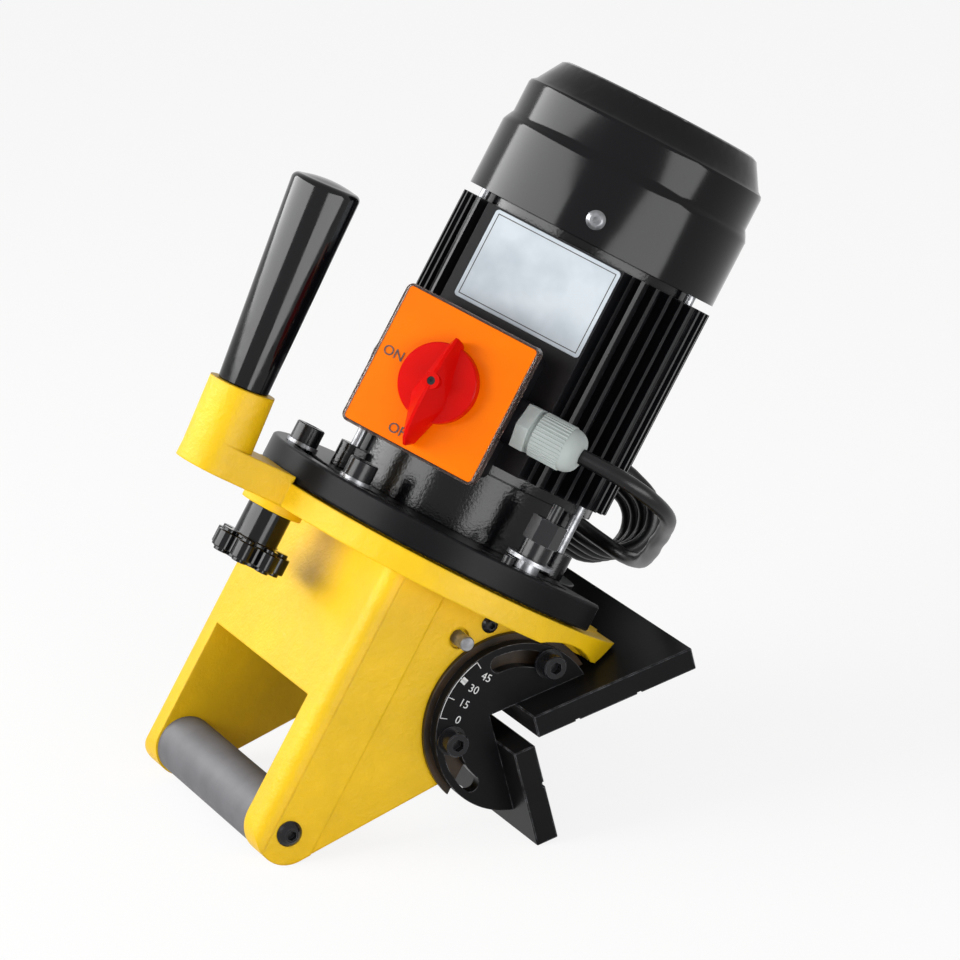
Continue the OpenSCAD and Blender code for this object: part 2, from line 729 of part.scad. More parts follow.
module ring_outline_2d() {
    difference() {
        circle(ring_r + over);
        difference() {
            pie_2d(2 * ring_r, -relief_angle, relief_angle, 8);
            circle(relief_r);
        }
    }
}
module depth_ring() {
    slot = 2 * (clamp_bolt_r + slot_play);
    color("#2b2b2d") stand() difference() {
        union() {
            translate([0, 0, register_short - plate_t])
                cylinder(r = register_r - ring_fit, h = plate_t + ring_gap - register_short);
            intersection() {
                rotate_extrude($fn = 180) polygon([[0, ring_gap], [ring_r - ring_bevel, ring_gap],
                    [ring_r, ring_gap + ring_bevel], [ring_r, ring_top - ring_bevel],
                    [ring_r - ring_bevel, ring_top], [0, ring_top]]);
                translate([0, 0, ring_gap]) linear_extrude(ring_t) ring_outline_2d();
            }
        }
        motor() translate([0, 0, -plate_t - over]) cylinder(r = shaft_hole_r, h = plate_t + ring_top + 2 * over);
        motor() translate([0, 0, ring_top - shield_spigot_h])
            cylinder(r = shield_spigot_r, h = shield_spigot_h + over);
        translate([0, 0, ring_gap - over]) linear_extrude(ring_t + 2 * over) {
            for (a = screw_clamp_angles)
                arc_slot_2d(clamp_r, slot, a - ring_turn - spare_turn, a + ring_turn + spare_turn);
            for (a = stud_clamp_angles) arc_slot_2d(clamp_r, slot, a - ring_turn, a + ring_turn);
        }
        rotate([0, 0, stop_pin_angle]) translate([stop_pin_circle_r, 0, ring_top - stop_pin_in])
            cylinder(r = stop_pin_r + seat, h = stop_pin_in + over);
    }
}
module stop_pin() {
    color("dimgray") stand() rotate([0, 0, stop_pin_angle])
        translate([stop_pin_circle_r, 0, ring_top - stop_pin_in]) {
            cylinder(r = stop_pin_r, h = stop_pin_in + stop_pin_h - bevel);
            translate([0, 0, stop_pin_in + stop_pin_h - bevel])
                cylinder(r1 = stop_pin_r, r2 = stop_pin_r - bevel, h = bevel);
        }
}

// Motor
housing_top = housing_low + housing_len;
frame_wall = 4;
bore_r = frame_r - frame_wall;
front_bearing_r = 23.5;
front_bearing_t = 14;
front_bearing_z = 24;
rear_bearing_gap = 6;                // from the housing's top to the bearing
rear_bearing_r = 20;
rear_bearing_t = 12;
shield_flange_t = 6;
shield_rim_h = 4;
shield_wall = 8;
lug_r = 8;
lug_h = 14;
rod_head = 4;                        // a rod's end over the ring, in its lug
rod_low_z = ring_top + rod_head;
rear_plate_t = 5;
rear_rim_h = 17;
rear_hub_r = 26;
rod_nut_h = 4;
rod_nut_r = 4.4;
rod_end = 1;                         // of a rod past its nut
rear_bearing_z = housing_top + rear_bearing_gap;
core_h = 45;
air_gap = 0.5;
winding_out = 56;
winding_in = 44;
winding_h = 14;
winding_gap = 5;                     // from the housing's lower face to the coil heads
core_low_z = housing_low + winding_gap + winding_h;

module front_shield() {
    color("#1d1d1f") stand() motor() difference() {
        union() {
            translate([0, 0, ring_top - shield_spigot_h])
                cylinder(r = shield_spigot_r - seat, h = shield_spigot_h);
            translate([0, 0, ring_top]) cylinder(r = shield_r, h = housing_low - ring_top);
            translate([0, 0, housing_low - shield_flange_t]) cylinder(r = frame_r + bevel, h = shield_flange_t);
            translate([0, 0, housing_low]) cylinder(r = bore_r - seat, h = shield_rim_h);
            around(rod_angles) translate([0, 0, ring_top]) linear_extrude(lug_h) {
                translate([rod_circle_r, 0]) circle(lug_r);
                translate([shield_r - lug_r, -lug_r + seat])
                    square([rod_circle_r - shield_r + lug_r, 2 * (lug_r - seat)]);
            }
        }
        around(rod_angles) translate([rod_circle_r, 0, ring_top - over])
            cylinder(r = rod_r + seat, h = housing_low);
        translate([0, 0, ring_top - shield_spigot_h - over]) cylinder(r = shaft_r + bevel, h = housing_low);
        translate([0, 0, front_bearing_z]) cylinder(r = front_bearing_r + seat, h = housing_low);
        translate([0, 0, front_bearing_z + front_bearing_t])
            cylinder(r = shield_r - shield_wall, h = housing_low);
    }
}

fin_w = 2.2;
pad_depth = 20;
rod_boss_r = 5.5;
wire_hole_r = 9;
pad_spare_angle = 1.5;
pad_clear_angle = asin(pad_w / 2 / frame_r) + pad_spare_angle;
function off_pad(a) = abs((a - pad_angle + 540) % 360 - 180) > pad_clear_angle;
module housing_2d() {
    difference() {
        union() {
            circle(frame_r);
            for (i = [0 : fin_count - 1]) let (a = i * 360 / fin_count) if (off_pad(a))
                rotate(a) translate([frame_r - over, -fin_w / 2]) square([fin_r - frame_r + over, fin_w]);
            rotate(pad_angle) translate([pad_x - pad_depth, -pad_w / 2]) square([pad_depth, pad_w]);
            for (a = rod_angles) rotate(a) translate([rod_circle_r, 0]) circle(rod_boss_r);
        }
        circle(bore_r);
        for (a = rod_angles) rotate(a) translate([rod_circle_r, 0]) circle(rod_r + seat);
    }
}
module stator_housing() {
    color("#1d1d1f") stand() motor() difference() {
        translate([0, 0, housing_low]) linear_extrude(housing_len) housing_2d();
        rotate([0, 0, pad_angle]) translate([bore_r - pad_depth, switch_y, switch_z]) rotate([0, 90, 0])
            cylinder(r = wire_hole_r, h = 2 * pad_depth);
    }
}

module on_pad(x, y, z) {
    stand() motor() rotate([0, 0, pad_angle]) translate([x, y, z]) children();
}
plate_w = 75;
plate_y = 2.5;
plate_sheet = 0.8;
plate_low_gap = 8;                   // from the switch box up to the nameplate
plate_top_gap = 1;                   // from there to the housing's top
plate_low = switch_z + box_w / 2 + plate_low_gap;
plate_h = housing_top - plate_top_gap - plate_low;
plate_z = plate_low + plate_h / 2;
module nameplate() {
    color("silver") on_pad(pad_x, plate_y, plate_z) rotate([90, 0, 90])
        linear_extrude(plate_sheet) rounded_2d(plate_w, plate_h, fillet);
}

module tie_rods() {
    top = housing_top + cover_gap + rear_rim_h + rod_nut_h + rod_end;
    color("silver") stand() motor() around(rod_angles) translate([rod_circle_r, 0, rod_low_z])
        cylinder(r = rod_r, h = top - rod_low_z);
}
module tie_rod_nuts() {
    color("silver") stand() motor() around(rod_angles)
        translate([rod_circle_r, 0, housing_top + cover_gap + rear_rim_h]) difference() {
            cylinder(r = rod_nut_r, h = rod_nut_h, $fn = 6);
            translate([0, 0, -over]) cylinder(r = rod_r + seat, h = rod_nut_h + 2 * over);
        }
}

module rear_shield() {
    rim_r = skirt_r - sheet_t - seat;
    rim_z = housing_top + cover_gap;
    color("#1d1d1f") stand() motor() difference() {
        union() {
            translate([0, 0, housing_top - shield_rim_h]) cylinder(r = bore_r - seat, h = shield_rim_h);
            translate([0, 0, housing_top]) cylinder(r = bore_r, h = cover_gap);
            translate([0, 0, rim_z]) cylinder(r = rim_r, h = rear_rim_h);
        }
        around(rod_angles) translate([rod_circle_r, 0, rim_z - over])
            cylinder(r = rod_r + seat, h = rear_rim_h + 2 * over);
        around(cover_angles) translate([rim_r - shield_wall - over, 0, cover_screw_z]) rotate([0, 90, 0])
            cylinder(r = cover_screw_r + fit, h = shield_wall + 2 * over);
        translate([0, 0, rim_z + rear_plate_t]) tube(rim_r - shield_wall, rear_hub_r, rear_rim_h);
        translate([0, 0, housing_top - shield_rim_h - over])
            tube(bore_r - shield_wall, rear_hub_r, shield_rim_h + cover_gap + over);
        translate([0, 0, housing_top - shield_rim_h - over])
            cylinder(r = shaft_r + bevel, h = 2 * rear_rim_h);
        translate([0, 0, rear_bearing_z]) cylinder(r = rear_bearing_r + seat, h = 2 * rear_rim_h);
    }
}

// Fan cover with its grille and screws
cover_screw_in = 8;
cover_screw_r = 2.5;
cover_screw_up = 12;                 // over the skirt's lower edge
cover_screw_z = housing_top + cover_gap + cover_screw_up;
cover_head_r = 5.2;
cover_head_h = 3;
cover_key_r = 1.9;
grille_rings = [[14, 24], [28, 38], [42, 52]];
grille_rib = 4;
grille_spokes = 12;
step_share = 0.55;

// Outline of the sheet, drawn in by d: skirt, soft step, tier, sloping shoulder, flat top.
function cover_outline(d) = let (k = d * tan(22.5)) [[skirt_r - d, 0], [skirt_r - d, skirt_h - k],
    [tier_r + (skirt_r - tier_r) * step_share - d, skirt_h + (skirt_r - tier_r) - k],
    [tier_r - d, skirt_h + 2 * (skirt_r - tier_r) - k],
    [tier_r - d, tier_h - 4 * bevel - k], [tier_r - bevel - d, tier_h - bevel - k],
    [tier_r - 5 * bevel - d, tier_h + 2 * bevel - k],
    [cover_top_r + 2 * bevel - k, cover_h - 2 * bevel - d], [cover_top_r - 2 * bevel - k, cover_h - d],
    [0, cover_h - d]];
module fan_cover() {
    color("#1d1d1f") stand() motor() translate([0, 0, cover_z]) difference() {
        rotate_extrude() polygon(concat([[0, 0]], cover_outline(0)));
        translate([0, 0, -over]) rotate_extrude() polygon(concat([[0, 0]],
            [[skirt_r - sheet_t, 0]], [for (p = cover_outline(sheet_t)) [p[0], p[1] + over]]));
        translate([0, 0, cover_h - sheet_t - over]) linear_extrude(sheet_t + 2 * over) difference() {
            for (g = grille_rings) ring_2d(g[1], g[0]);
            for (i = [0 : grille_spokes - 1]) rotate(i * 360 / grille_spokes)
                translate([0, -grille_rib / 2]) square([cover_top_r, grille_rib]);
        }
        around(cover_angles) translate([skirt_r - sheet_t - over, 0, cover_screw_z - cover_z])
            rotate([0, 90, 0]) cylinder(r = cover_screw_r + seat, h = sheet_t + 2 * over);
    }
}
module cover_screws() {
    color("silver") stand() motor() around(cover_angles) translate([skirt_r, 0, cover_screw_z])
        rotate([0, 90, 0]) {
            button_head(cover_head_r, cover_head_h, cover_key_r);
            translate([0, 0, -cover_screw_in]) cylinder(r = cover_screw_r, h = cover_screw_in);
        }
}

module stator_core() {
    color("gray") stand() motor() translate([0, 0, core_low_z]) tube(bore_r - seat, rotor_r + air_gap, core_h);
}
module stator_windings() {
    color("peru") stand() motor() for (z = [core_low_z - winding_h, core_low_z + core_h])
        translate([0, 0, z]) tube(winding_out, winding_in, winding_h);
}
module bearing(r, t, z) {
    color("silver") stand() motor() translate([0, 0, z]) tube(r, shaft_r + seat, t);
}
module front_bearing() bearing(front_bearing_r, front_bearing_t, front_bearing_z);
module rear_bearing() bearing(rear_bearing_r, rear_bearing_t, rear_bearing_z);

// Switch box on the pad, with the gland on its side
box_wall = 3;
guard_t = 9;
guard_lip = 1.5;
core_w = 42;
switch_core_t = 26;
spindle_r = 4;
box_front = guard_x - guard_t;
panel_t = 2.5;
panel_x = guard_x - panel_t - bevel;
gland_boss_r = box_front - gland_x - gap;
gland_hex_r = 13.8;
gland_neck_r = 10;
gland_cap_r = 12.4;
gland_flutes = 20;
flute_r = 0.9;
module gland_axis() {
    on_pad(gland_x, gland_y, switch_z) rotate([-90, 0, 0]) children();
}
module switch_box() {
    color("#1d1d1f") on_pad(0, 0, 0) difference() {
        union() {
            translate([pad_x, switch_y, switch_z]) rotate([90, 0, 90])
                linear_extrude(box_front - pad_x) rounded_2d(box_w, box_w, 2 * fillet);
            translate([gland_x, gland_y - gland_boss_h - box_wall, switch_z]) rotate([-90, 0, 0])
                cylinder(r = gland_boss_r, h = gland_boss_h + box_wall);
        }
        translate([pad_x + box_wall, switch_y, switch_z]) rotate([90, 0, 90])
            linear_extrude(box_front - pad_x) rounded_2d(box_w - 2 * box_wall, box_w - 2 * box_wall, fillet);
        translate([gland_x, gland_y - gland_boss_h - 2 * box_wall, switch_z]) rotate([-90, 0, 0])
            cylinder(r = cable_d / 2 + seat, h = gland_boss_h + 3 * box_wall);
        translate([pad_x - over, switch_y, switch_z]) rotate([0, 90, 0])
            cylinder(r = wire_hole_r, h = box_wall + 2 * over);
    }
}
module switch_guard() {
    color("whitesmoke") on_pad(box_front, switch_y, switch_z) rotate([90, 0, 90]) difference() {
        linear_extrude(guard_t) rounded_2d(guard_w, guard_w, 2 * fillet);
        translate([0, 0, -over]) linear_extrude(guard_t + 2 * over)
            rounded_2d(guard_w - 2 * guard_lip, guard_w - 2 * guard_lip, fillet);
    }
}
module switch_plate() {
    side = guard_w - 2 * (guard_lip + seat);
    color("orange") on_pad(box_front, switch_y, switch_z) rotate([90, 0, 90]) difference() {
        union() {
            translate([0, 0, panel_x - box_front]) linear_extrude(panel_t) rounded_2d(side, side, fillet);
            linear_extrude(panel_x - box_front) difference() {
                rounded_2d(box_w, box_w, fillet);
                rounded_2d(box_w - 2 * box_wall, box_w - 2 * box_wall, fillet);
            }
        }
        translate([0, 0, -over]) cylinder(r = spindle_r + gap, h = guard_t + 2 * over);
    }
}
module switch_core() {
    color("dimgray") on_pad(panel_x - switch_core_t, switch_y, switch_z) rotate([90, 0, 90]) difference() {
        linear_extrude(switch_core_t) rounded_2d(core_w, core_w, fillet);
        translate([0, 0, switch_core_t / 2]) cylinder(r = spindle_r + fit, h = switch_core_t);
    }
}
dial_t = 7;
lever_h = 12;                        // over the disc, at the screw
lever_up = 25;                       // reach of the lever to each side of the screw
lever_down = 36;
lever_edge = 1.6;
lever_play = 1.2;                    // between the lever and the plate
lever_belly_r = 9.5;
lever_boss_r = 4.4;
// Crest from its upper end to its lower one, in shares of the reach and of the height.
crest_shares = [[-1, 0.3], [-0.5, 0.8], [0, 1], [0.4, 1.1], [0.7, 0.95], [0.9, 0.6], [1, 0.1]];
dial_screw_r = 2.2;
dial_screw_h = 2.5;
module dial_axis() {
    on_pad(panel_x + panel_t + gap, switch_y, switch_z) rotate([0, 90, 0]) children();
}
module lever() {
    hull() {
        translate([0, lever_edge / 2, 0]) rotate([90, 0, 0]) linear_extrude(lever_edge) polygon(concat(
            [for (c = crest_shares) [c[0] * (c[0] < 0 ? lever_up : lever_down), dial_t + lever_h * c[1]]],
            [[lever_down - lever_edge, lever_play], [lever_edge - lever_up, lever_play]]));
        translate([0, 0, lever_play]) linear_extrude(dial_t - lever_play) {
            translate([lever_belly_r, 0]) circle(lever_belly_r);
            for (x = [lever_play + 2 * lever_edge - lever_up, lever_down - 2 * lever_edge - lever_play])
                translate([x, 0]) circle(2 * lever_edge);
        }
    }
}
module switch_knob() {
    color("red") dial_axis() difference() {
        union() {
            cylinder(r = dial_r, h = dial_t - bevel);
            translate([0, 0, dial_t - bevel]) cylinder(r1 = dial_r, r2 = dial_r - bevel, h = bevel);
            lever();
            cylinder(r = lever_boss_r, h = dial_t + lever_h);
            translate([0, 0, -switch_core_t / 2 + over]) cylinder(r = spindle_r, h = switch_core_t / 2);
        }
        translate([0, 0, dial_t + lever_h - dial_screw_h])
            cylinder(r = dial_screw_r + seat, h = dial_screw_h + lever_h);
    }
}
module dial_screw() {
    color("silver") dial_axis() translate([0, 0, dial_t + lever_h - dial_screw_h]) difference() {
        cylinder(r = dial_screw_r, h = dial_screw_h - bevel);
        translate([0, 0, bevel]) cylinder(r = dial_screw_r / 2, h = dial_screw_h, $fn = 6);
    }
}
module gland_body() {
    color("lightgray") gland_axis() difference() {
        union() {
            cylinder(r = gland_hex_r, h = gland_hex_h, $fn = 6);
            cylinder(r = gland_neck_r, h = gland_hex_h + gland_neck_h);
        }
        translate([0, 0, -over]) cylinder(r = cable_d / 2 + seat, h = gland_hex_h + gland_neck_h + 2 * over);
    }
}
module gland_cap() {
    color("lightgray") gland_axis() translate([0, 0, gland_hex_h + gland_neck_h]) difference() {
        union() {
            linear_extrude(gland_cap_h) difference() {
                circle(gland_cap_r);
                for (i = [0 : gland_flutes - 1]) rotate(i * 360 / gland_flutes)
                    translate([gland_cap_r, 0]) circle(flute_r, $fn = 16);
            }
            translate([0, 0, gland_cap_h]) cylinder(r1 = gland_cap_r - flute_r, r2 = gland_tip_r, h = gland_dome_h);
        }
        translate([0, 0, -over]) cylinder(r = cable_d / 2 + seat, h = gland_cap_h + gland_dome_h + 2 * over);
    }
}

// Rotor: shaft, laminated core, fan and cutter
cutter_low = -apex_drop - cutter_t / 2;
cutter_high = -apex_drop + cutter_t / 2;
nose_r = 8;
cutter_recess_r = 14;
cutter_recess_h = 8;
cutter_bolt_r = 4;
cutter_bolt_in = 24;
bolt_head_r = 7;
bolt_head_h = 5.5;
bolt_washer_r = 13;
bolt_washer_t = 2;
shaft_reach = 24;
shaft_top = housing_top + shaft_reach;
fan_tail_r = 7;
fan_hub_r = 14;
fan_r = 56;
fan_h = 20;
fan_plate_t = 2;
fan_blades = 8;
blade_t = 2.4;

module motor_shaft() {
    low = cutter_low + cutter_recess_h;
    color("silver") stand() motor() difference() {
        union() {
            translate([0, 0, low]) cylinder(r = nose_r, h = cutter_high - low);
            translate([0, 0, cutter_high]) cylinder(r = shaft_r, h = shaft_top - cutter_high);
            translate([0, 0, shaft_top]) cylinder(r = fan_tail_r, h = fan_h);
        }
        translate([0, 0, low - over]) cylinder(r = cutter_bolt_r + seat, h = cutter_bolt_in + over);
    }
}
module rotor_core() {
    color("gray") stand() motor() translate([0, 0, core_low_z]) tube(rotor_r, shaft_r + seat, core_h);
}
module cooling_fan() {
    color("dimgray") stand() motor() translate([0, 0, shaft_top]) difference() {
        union() {
            cylinder(r = fan_hub_r, h = fan_h);
            cylinder(r = fan_r, h = fan_plate_t);
            for (i = [0 : fan_blades - 1]) rotate([0, 0, i * 360 / fan_blades])
                translate([0, -blade_t / 2, 0]) cube([fan_r - bevel, blade_t, fan_h - fillet]);
        }
        translate([0, 0, -over]) cylinder(r = fan_tail_r + seat, h = fan_h + 2 * over);
    }
}

insert_len = 20;
insert_w = 12;
insert_t = 4.5;
insert_relief = 0.8;                 // drop of an insert's outer face behind its edge
insert_screw_r = 1.6;
insert_head_r = 2.9;
insert_screw_len = 10;
gullet_w = 9;
gullet_depth = 3;                    // of the chip gullet inside the insert
module insert_2d() {
    polygon([[edge_r - insert_w, 0], [edge_r, 0], [edge_r - insert_relief, -insert_t],
        [edge_r - insert_w, -insert_t]]);
}
module at_inserts() {
    stand() motor() translate([0, 0, -apex_drop]) for (i = [0 : insert_count - 1])
        rotate([0, 0, i * 360 / insert_count]) children();
}
module cutter_head() {
    inner = edge_r - insert_w - gullet_depth;
    color("silver") difference() {
        stand() motor() {
            translate([0, 0, cutter_low]) difference() {
                rotate_extrude() polygon([[0, 0], [cutter_r - 2 * bevel, 0], [cutter_r, 2 * bevel],
                    [cutter_r, cutter_t - 2 * bevel], [cutter_r - 2 * bevel, cutter_t], [0, cutter_t]]);
                translate([0, 0, -over]) cylinder(r = cutter_recess_r, h = cutter_recess_h + over);
                cylinder(r = nose_r + seat, h = cutter_t + over);
            }
        }
        at_inserts() {
            translate([0, 0, -cutter_t / 2 - over]) linear_extrude(cutter_t + 2 * over) {
                translate([inner + gullet_w / 2, gullet_w / 2]) circle(gullet_w / 2);
                translate([inner + gullet_w / 2, 0]) square([insert_w, gullet_w]);
            }
            translate([edge_r - insert_w - seat, -insert_t - seat, -insert_len / 2 - seat])
                cube([insert_w + over, insert_t + over, insert_len + 2 * seat]);
            translate([edge_r - insert_w / 2, 0, 0]) rotate([90, 0, 0])
                cylinder(r = insert_screw_r + seat, h = insert_screw_len + over);
        }
    }
}
module cutter_inserts() {
    color("goldenrod") at_inserts() difference() {
        translate([0, 0, -insert_len / 2]) linear_extrude(insert_len) insert_2d();
        translate([edge_r - insert_w / 2, 0, 0]) rotate([90, 0, 0]) {
            translate([0, 0, -over]) cylinder(r = insert_screw_r + seat, h = insert_t + 2 * over);
            translate([0, 0, -over]) cylinder(r = insert_head_r + seat, h = over + fillet);
        }
    }
}
module insert_screws() {
    color("dimgray") at_inserts() translate([edge_r - insert_w / 2, 0, 0]) rotate([90, 0, 0])
        difference() {
            union() {
                cylinder(r = insert_head_r, h = fillet);
                cylinder(r = insert_screw_r, h = insert_screw_len);
            }
            translate([0, 0, -over]) cylinder(r = insert_screw_r * key_share, h = over + fillet * key_share, $fn = 6);
        }
}
module cutter_bolt() {
    low = cutter_low + cutter_recess_h;
    color("dimgray") stand() motor() translate([0, 0, low]) {
        translate([0, 0, -bolt_washer_t]) rotate([180, 0, 0]) socket_head(bolt_head_r, bolt_head_h, cutter_bolt_r);
        translate([0, 0, -bolt_washer_t]) cylinder(r = bolt_washer_r, h = bolt_washer_t);
        translate([0, 0, -over]) cylinder(r = cutter_bolt_r, h = cutter_bolt_in);
    }
}

// Star knob and its stud under the arm
lobe_r = 6;
star_core_share = 0.72;
star_bevel = 2;
stud_sunk = 4;                       // end of the loosened stud under the plate's top
knob_foot_z = -plate_t - knob_boss_h - gap;
star_z = knob_foot_z - neck_len - star_t;
module star(grow, h) {
    linear_extrude(h) {
        circle(star_r * star_core_share + grow);
        for (i = [0 : star_lobes - 1]) rotate((i + 0.5) * 360 / star_lobes)
            translate([star_r - lobe_r, 0]) circle(lobe_r + grow, $fn = 48);
    }
}
module clamp_knob() {
    color("#2b2b2d") stand() translate([-knob_x, 0, star_z]) difference() {
        union() {
            translate([0, 0, star_bevel]) star(0, star_t - 2 * star_bevel);
            star(-star_bevel, star_t);
            translate([0, 0, star_t]) cylinder(r = neck_r, h = neck_len);
        }
        translate([0, 0, star_t / 2]) cylinder(r = clamp_stud_r + seat, h = star_t + neck_len);
    }
}
module clamp_stud() {
    color("silver") stand() translate([-knob_x, 0, star_z + star_t / 2])
        cylinder(r = clamp_stud_r, h = -stud_sunk - star_z - star_t / 2);
}

// Mains cable. Routes are in t to the picture's right, n away from it, and z, all in the
// motor's surroundings: t and n are X and Y turned by this angle.
view_turn = -30;
function from_view(p) = [p[0] * cos(view_turn) - p[1] * sin(view_turn),
    p[0] * sin(view_turn) + p[1] * cos(view_turn), p[2]];
function unit(v) = v / norm(v);
function smooth(x) = x * x * (3 - 2 * x);

hank_end = [84, 88, 59];             // centre of the first loop's right end
hank_slope = 12;                     // rise of the runs to the left, degrees
hank_shift = [-3.3, hank_step, -3.3];
hank_waist = 10;                     // each run is drawn in by this at the tie
loop_rings = 24;
run_rings = loop_rings / 4;
tail_rings = 11;
tail_out = 24;
hank_left = [-cos(hank_slope), 0, sin(hank_slope)];
hank_up = [sin(hank_slope), 0, cos(hank_slope)];

// Distance of a run from the hank's middle line, x of the way along it.
function run_off(x) = let (w = min(1, max(0, (x - 1 / run_rings) / (1 - 2 / run_rings))))
    hank_r - hank_waist * pow(sin(180 * w), 2);
// Ring i of the hank: a lower run, the left bend, an upper run that climbs, the right bend.
function hank_point(i) = let (k = floor(i / loop_rings), q = (i % loop_rings) / run_rings,
    part = floor(q), x = q - part, climb = part == 2 ? smooth(x) : (part == 3 ? 1 : 0),
    plain = part == 0 ? hank_run * x * hank_left - run_off(x) * hank_up
        : part == 1 ? (hank_run + hank_r * sin(180 * x)) * hank_left - hank_r * cos(180 * x) * hank_up
        : part == 2 ? hank_run * (1 - x) * hank_left + run_off(x) * hank_up
        : -hank_r * sin(180 * x) * hank_left + hank_r * cos(180 * x) * hank_up)
    hank_end + plain + (k + climb) * hank_shift;
last_ring = hank_loops * loop_rings + 1;
hank_line = concat([for (i = [1 : last_ring]) hank_point(i)],
    [for (j = [1 : tail_rings]) hank_point(last_ring + j) + [0, tail_out * smooth(j / tail_rings), 0]]);
plug_from = hank_line[len(hank_line) - 1] - cable_d * hank_left;
hank_path = [for (p = concat(hank_line, [plug_from])) from_view(p)];

// Point on the cable's way out of the gland, d from the gland's tip.
function gland_way(d) = [0, eccentric, switch_z] + [for (c = [
    gland_x * cos(pad_angle) - (gland_tip_y + d) * sin(pad_angle),
    gland_x * sin(pad_angle) + (gland_tip_y + d) * cos(pad_angle), 0]) c];
lead_points = [[73, -106, 82], [88, -98, 79], [97, -83, 75], [100, -66, 71], [101, -48, 67],
    [102, -30, 62], [102, -12, 57], [103, 6, 52], [103, 24, 47], [103, 42, 43], [101, 60, 40],
    [94, 75, 38], [82, 84, 39]];
lead_in = gland_y - gland_boss_h - 2 * box_wall - gland_tip_y;
lead_path = concat([gland_way(lead_in), gland_way(0), gland_way(cable_d)],
    [for (p = lead_points) from_view(p)],
    [from_view(hank_point(1) - cable_d * hank_left), from_view(hank_point(1))]);

// A tube of this many sides along a path, its rings mitred at each point.
function path_dir(path, i) = let (a = path[max(i - 1, 0)], b = path[i], c = path[min(i + 1, len(path) - 1)])
    unit((a == b ? [0, 0, 0] : unit(b - a)) + (b == c ? [0, 0, 0] : unit(c - b)));
function carried(path, i, side) = i == len(path) ? [] : let (d = path_dir(path, i),
    s = unit(side - (side * d) * d)) concat([s], carried(path, i + 1, s));
first_side = [0.1, 0.2, 1];          // starts the first ring's turn about the cable
module cable(path, sides) {
    n = len(path);
    across = carried(path, 0, first_side);
    points = [for (i = [0 : n - 1]) let (d = path_dir(path, i), u = across[i], v = cross(d, u))
        for (j = [0 : sides - 1]) path[i] + cable_d / 2 * (u * cos(360 * j / sides) + v * sin(360 * j / sides))];
    walls = [for (i = [0 : n - 2], j = [0 : sides - 1]) let (a = i * sides + j,
        b = i * sides + (j + 1) % sides) each [[a, b, b + sides], [a, b + sides, a + sides]]];
    polyhedron(points, concat([[for (j = [sides - 1 : -1 : 0]) j]], [for (w = walls) [w[0], w[1], w[2]]],
        [[for (j = [0 : sides - 1]) (n - 1) * sides + j]]));
}
function run_length(path) = let (steps = [for (i = [1 : len(path) - 1]) norm(path[i] - path[i - 1])])
    steps * [for (s = steps) 1];
// Distance of point p from the stretch between a and b.
function apart(p, a, b) = let (w = min(1, max(0, (p - a) * (b - a) / ((b - a) * (b - a)))))
    norm(p - a - w * (b - a));
hank_clear = min([for (i = [0 : len(hank_path) - 6], j = [i + 4 : len(hank_path) - 2])
    apart(hank_path[i], hank_path[j], hank_path[j + 1])]) - cable_d;
echo(hank_least_gap = hank_clear, cable_length = run_length(lead_path) + run_length(hank_path));

module cable_lead() color("#1a1a1c") stand() cable(lead_path, 10);
module cable_hank() color("#1a1a1c") stand() cable(hank_path, 6);

// Strap round the hank's waist, held on the housing's fins
strap_t = 1.5;
strap_w = 14;
waist_off = hank_r - hank_waist;
function waist(k, up) = [(hank_shift * [0, 1, 0]) * k, up * waist_off + k * (hank_shift * hank_up)];
strap_spare = 3;                     // room at the hank's upper end, where the tail leaves
module strap_2d(grow) {
    r = cable_d / 2 + grow;
    hull() for (c = [waist(0, -1), waist(hank_loops, -1) + [strap_spare, 0], waist(0.5, 1),
        waist(hank_loops - 0.5, 1)]) translate(c) circle(r);
}
module hank_tie() {
    middle = hank_end + hank_run / 2 * hank_left;
    reach = 24;
    color("#26262a") stand() difference() {
        rotate([0, 0, view_turn]) translate(middle) rotate([0, hank_slope, 0])
            rotate([90, 0, 90]) translate([0, 0, -strap_w / 2]) linear_extrude(strap_w) difference() {
                union() {
                    strap_2d(strap_t);
                    translate([-reach, -waist_off]) square([reach, 2 * waist_off]);
                }
                strap_2d(-bevel / 2);
            }
        motor() translate([0, 0, housing_low - over]) cylinder(r = fin_r, h = housing_len);
    }
}

// Mains plug on the cable's end
relief_len = 30;
relief_start_r = 5.2;
relief_end_r = 7.5;
plug_r = 18.5;
plug_waist_r = 13;
plug_len = 38;
waist_share = 0.3;
plug_pin_r = 2.4;
plug_pin_len = 19;
plug_pin_gap = 19;
module along_plug() {
    rotate([0, 0, view_turn]) translate(plug_from) rotate([0, 90 + hank_slope, 0]) children();
}
module plug_body() {
    color("#202022") stand() along_plug() difference() {
        rotate_extrude() polygon([[0, 0], [relief_start_r, 0], [relief_end_r, relief_len],
            [plug_waist_r, relief_len + fillet], [plug_waist_r + bevel, relief_len + plug_len * waist_share],
            [plug_r, relief_len + plug_len / 2], [plug_r, relief_len + plug_len], [0, relief_len + plug_len]]);
        for (s = [-1, 1]) translate([0, s * plug_pin_gap / 2, relief_len + plug_len / 2])
            cylinder(r = plug_pin_r + seat, h = plug_len);
    }
}
module plug_pins() {
    color("silver") stand() along_plug() for (s = [-1, 1])
        translate([0, s * plug_pin_gap / 2, relief_len + plug_len / 2]) {
            cylinder(r = plug_pin_r, h = plug_len / 2 + plug_pin_len - bevel);
            translate([0, 0, plug_len / 2 + plug_pin_len - bevel])
                cylinder(r1 = plug_pin_r, r2 = plug_pin_r - bevel, h = bevel);
        }
}

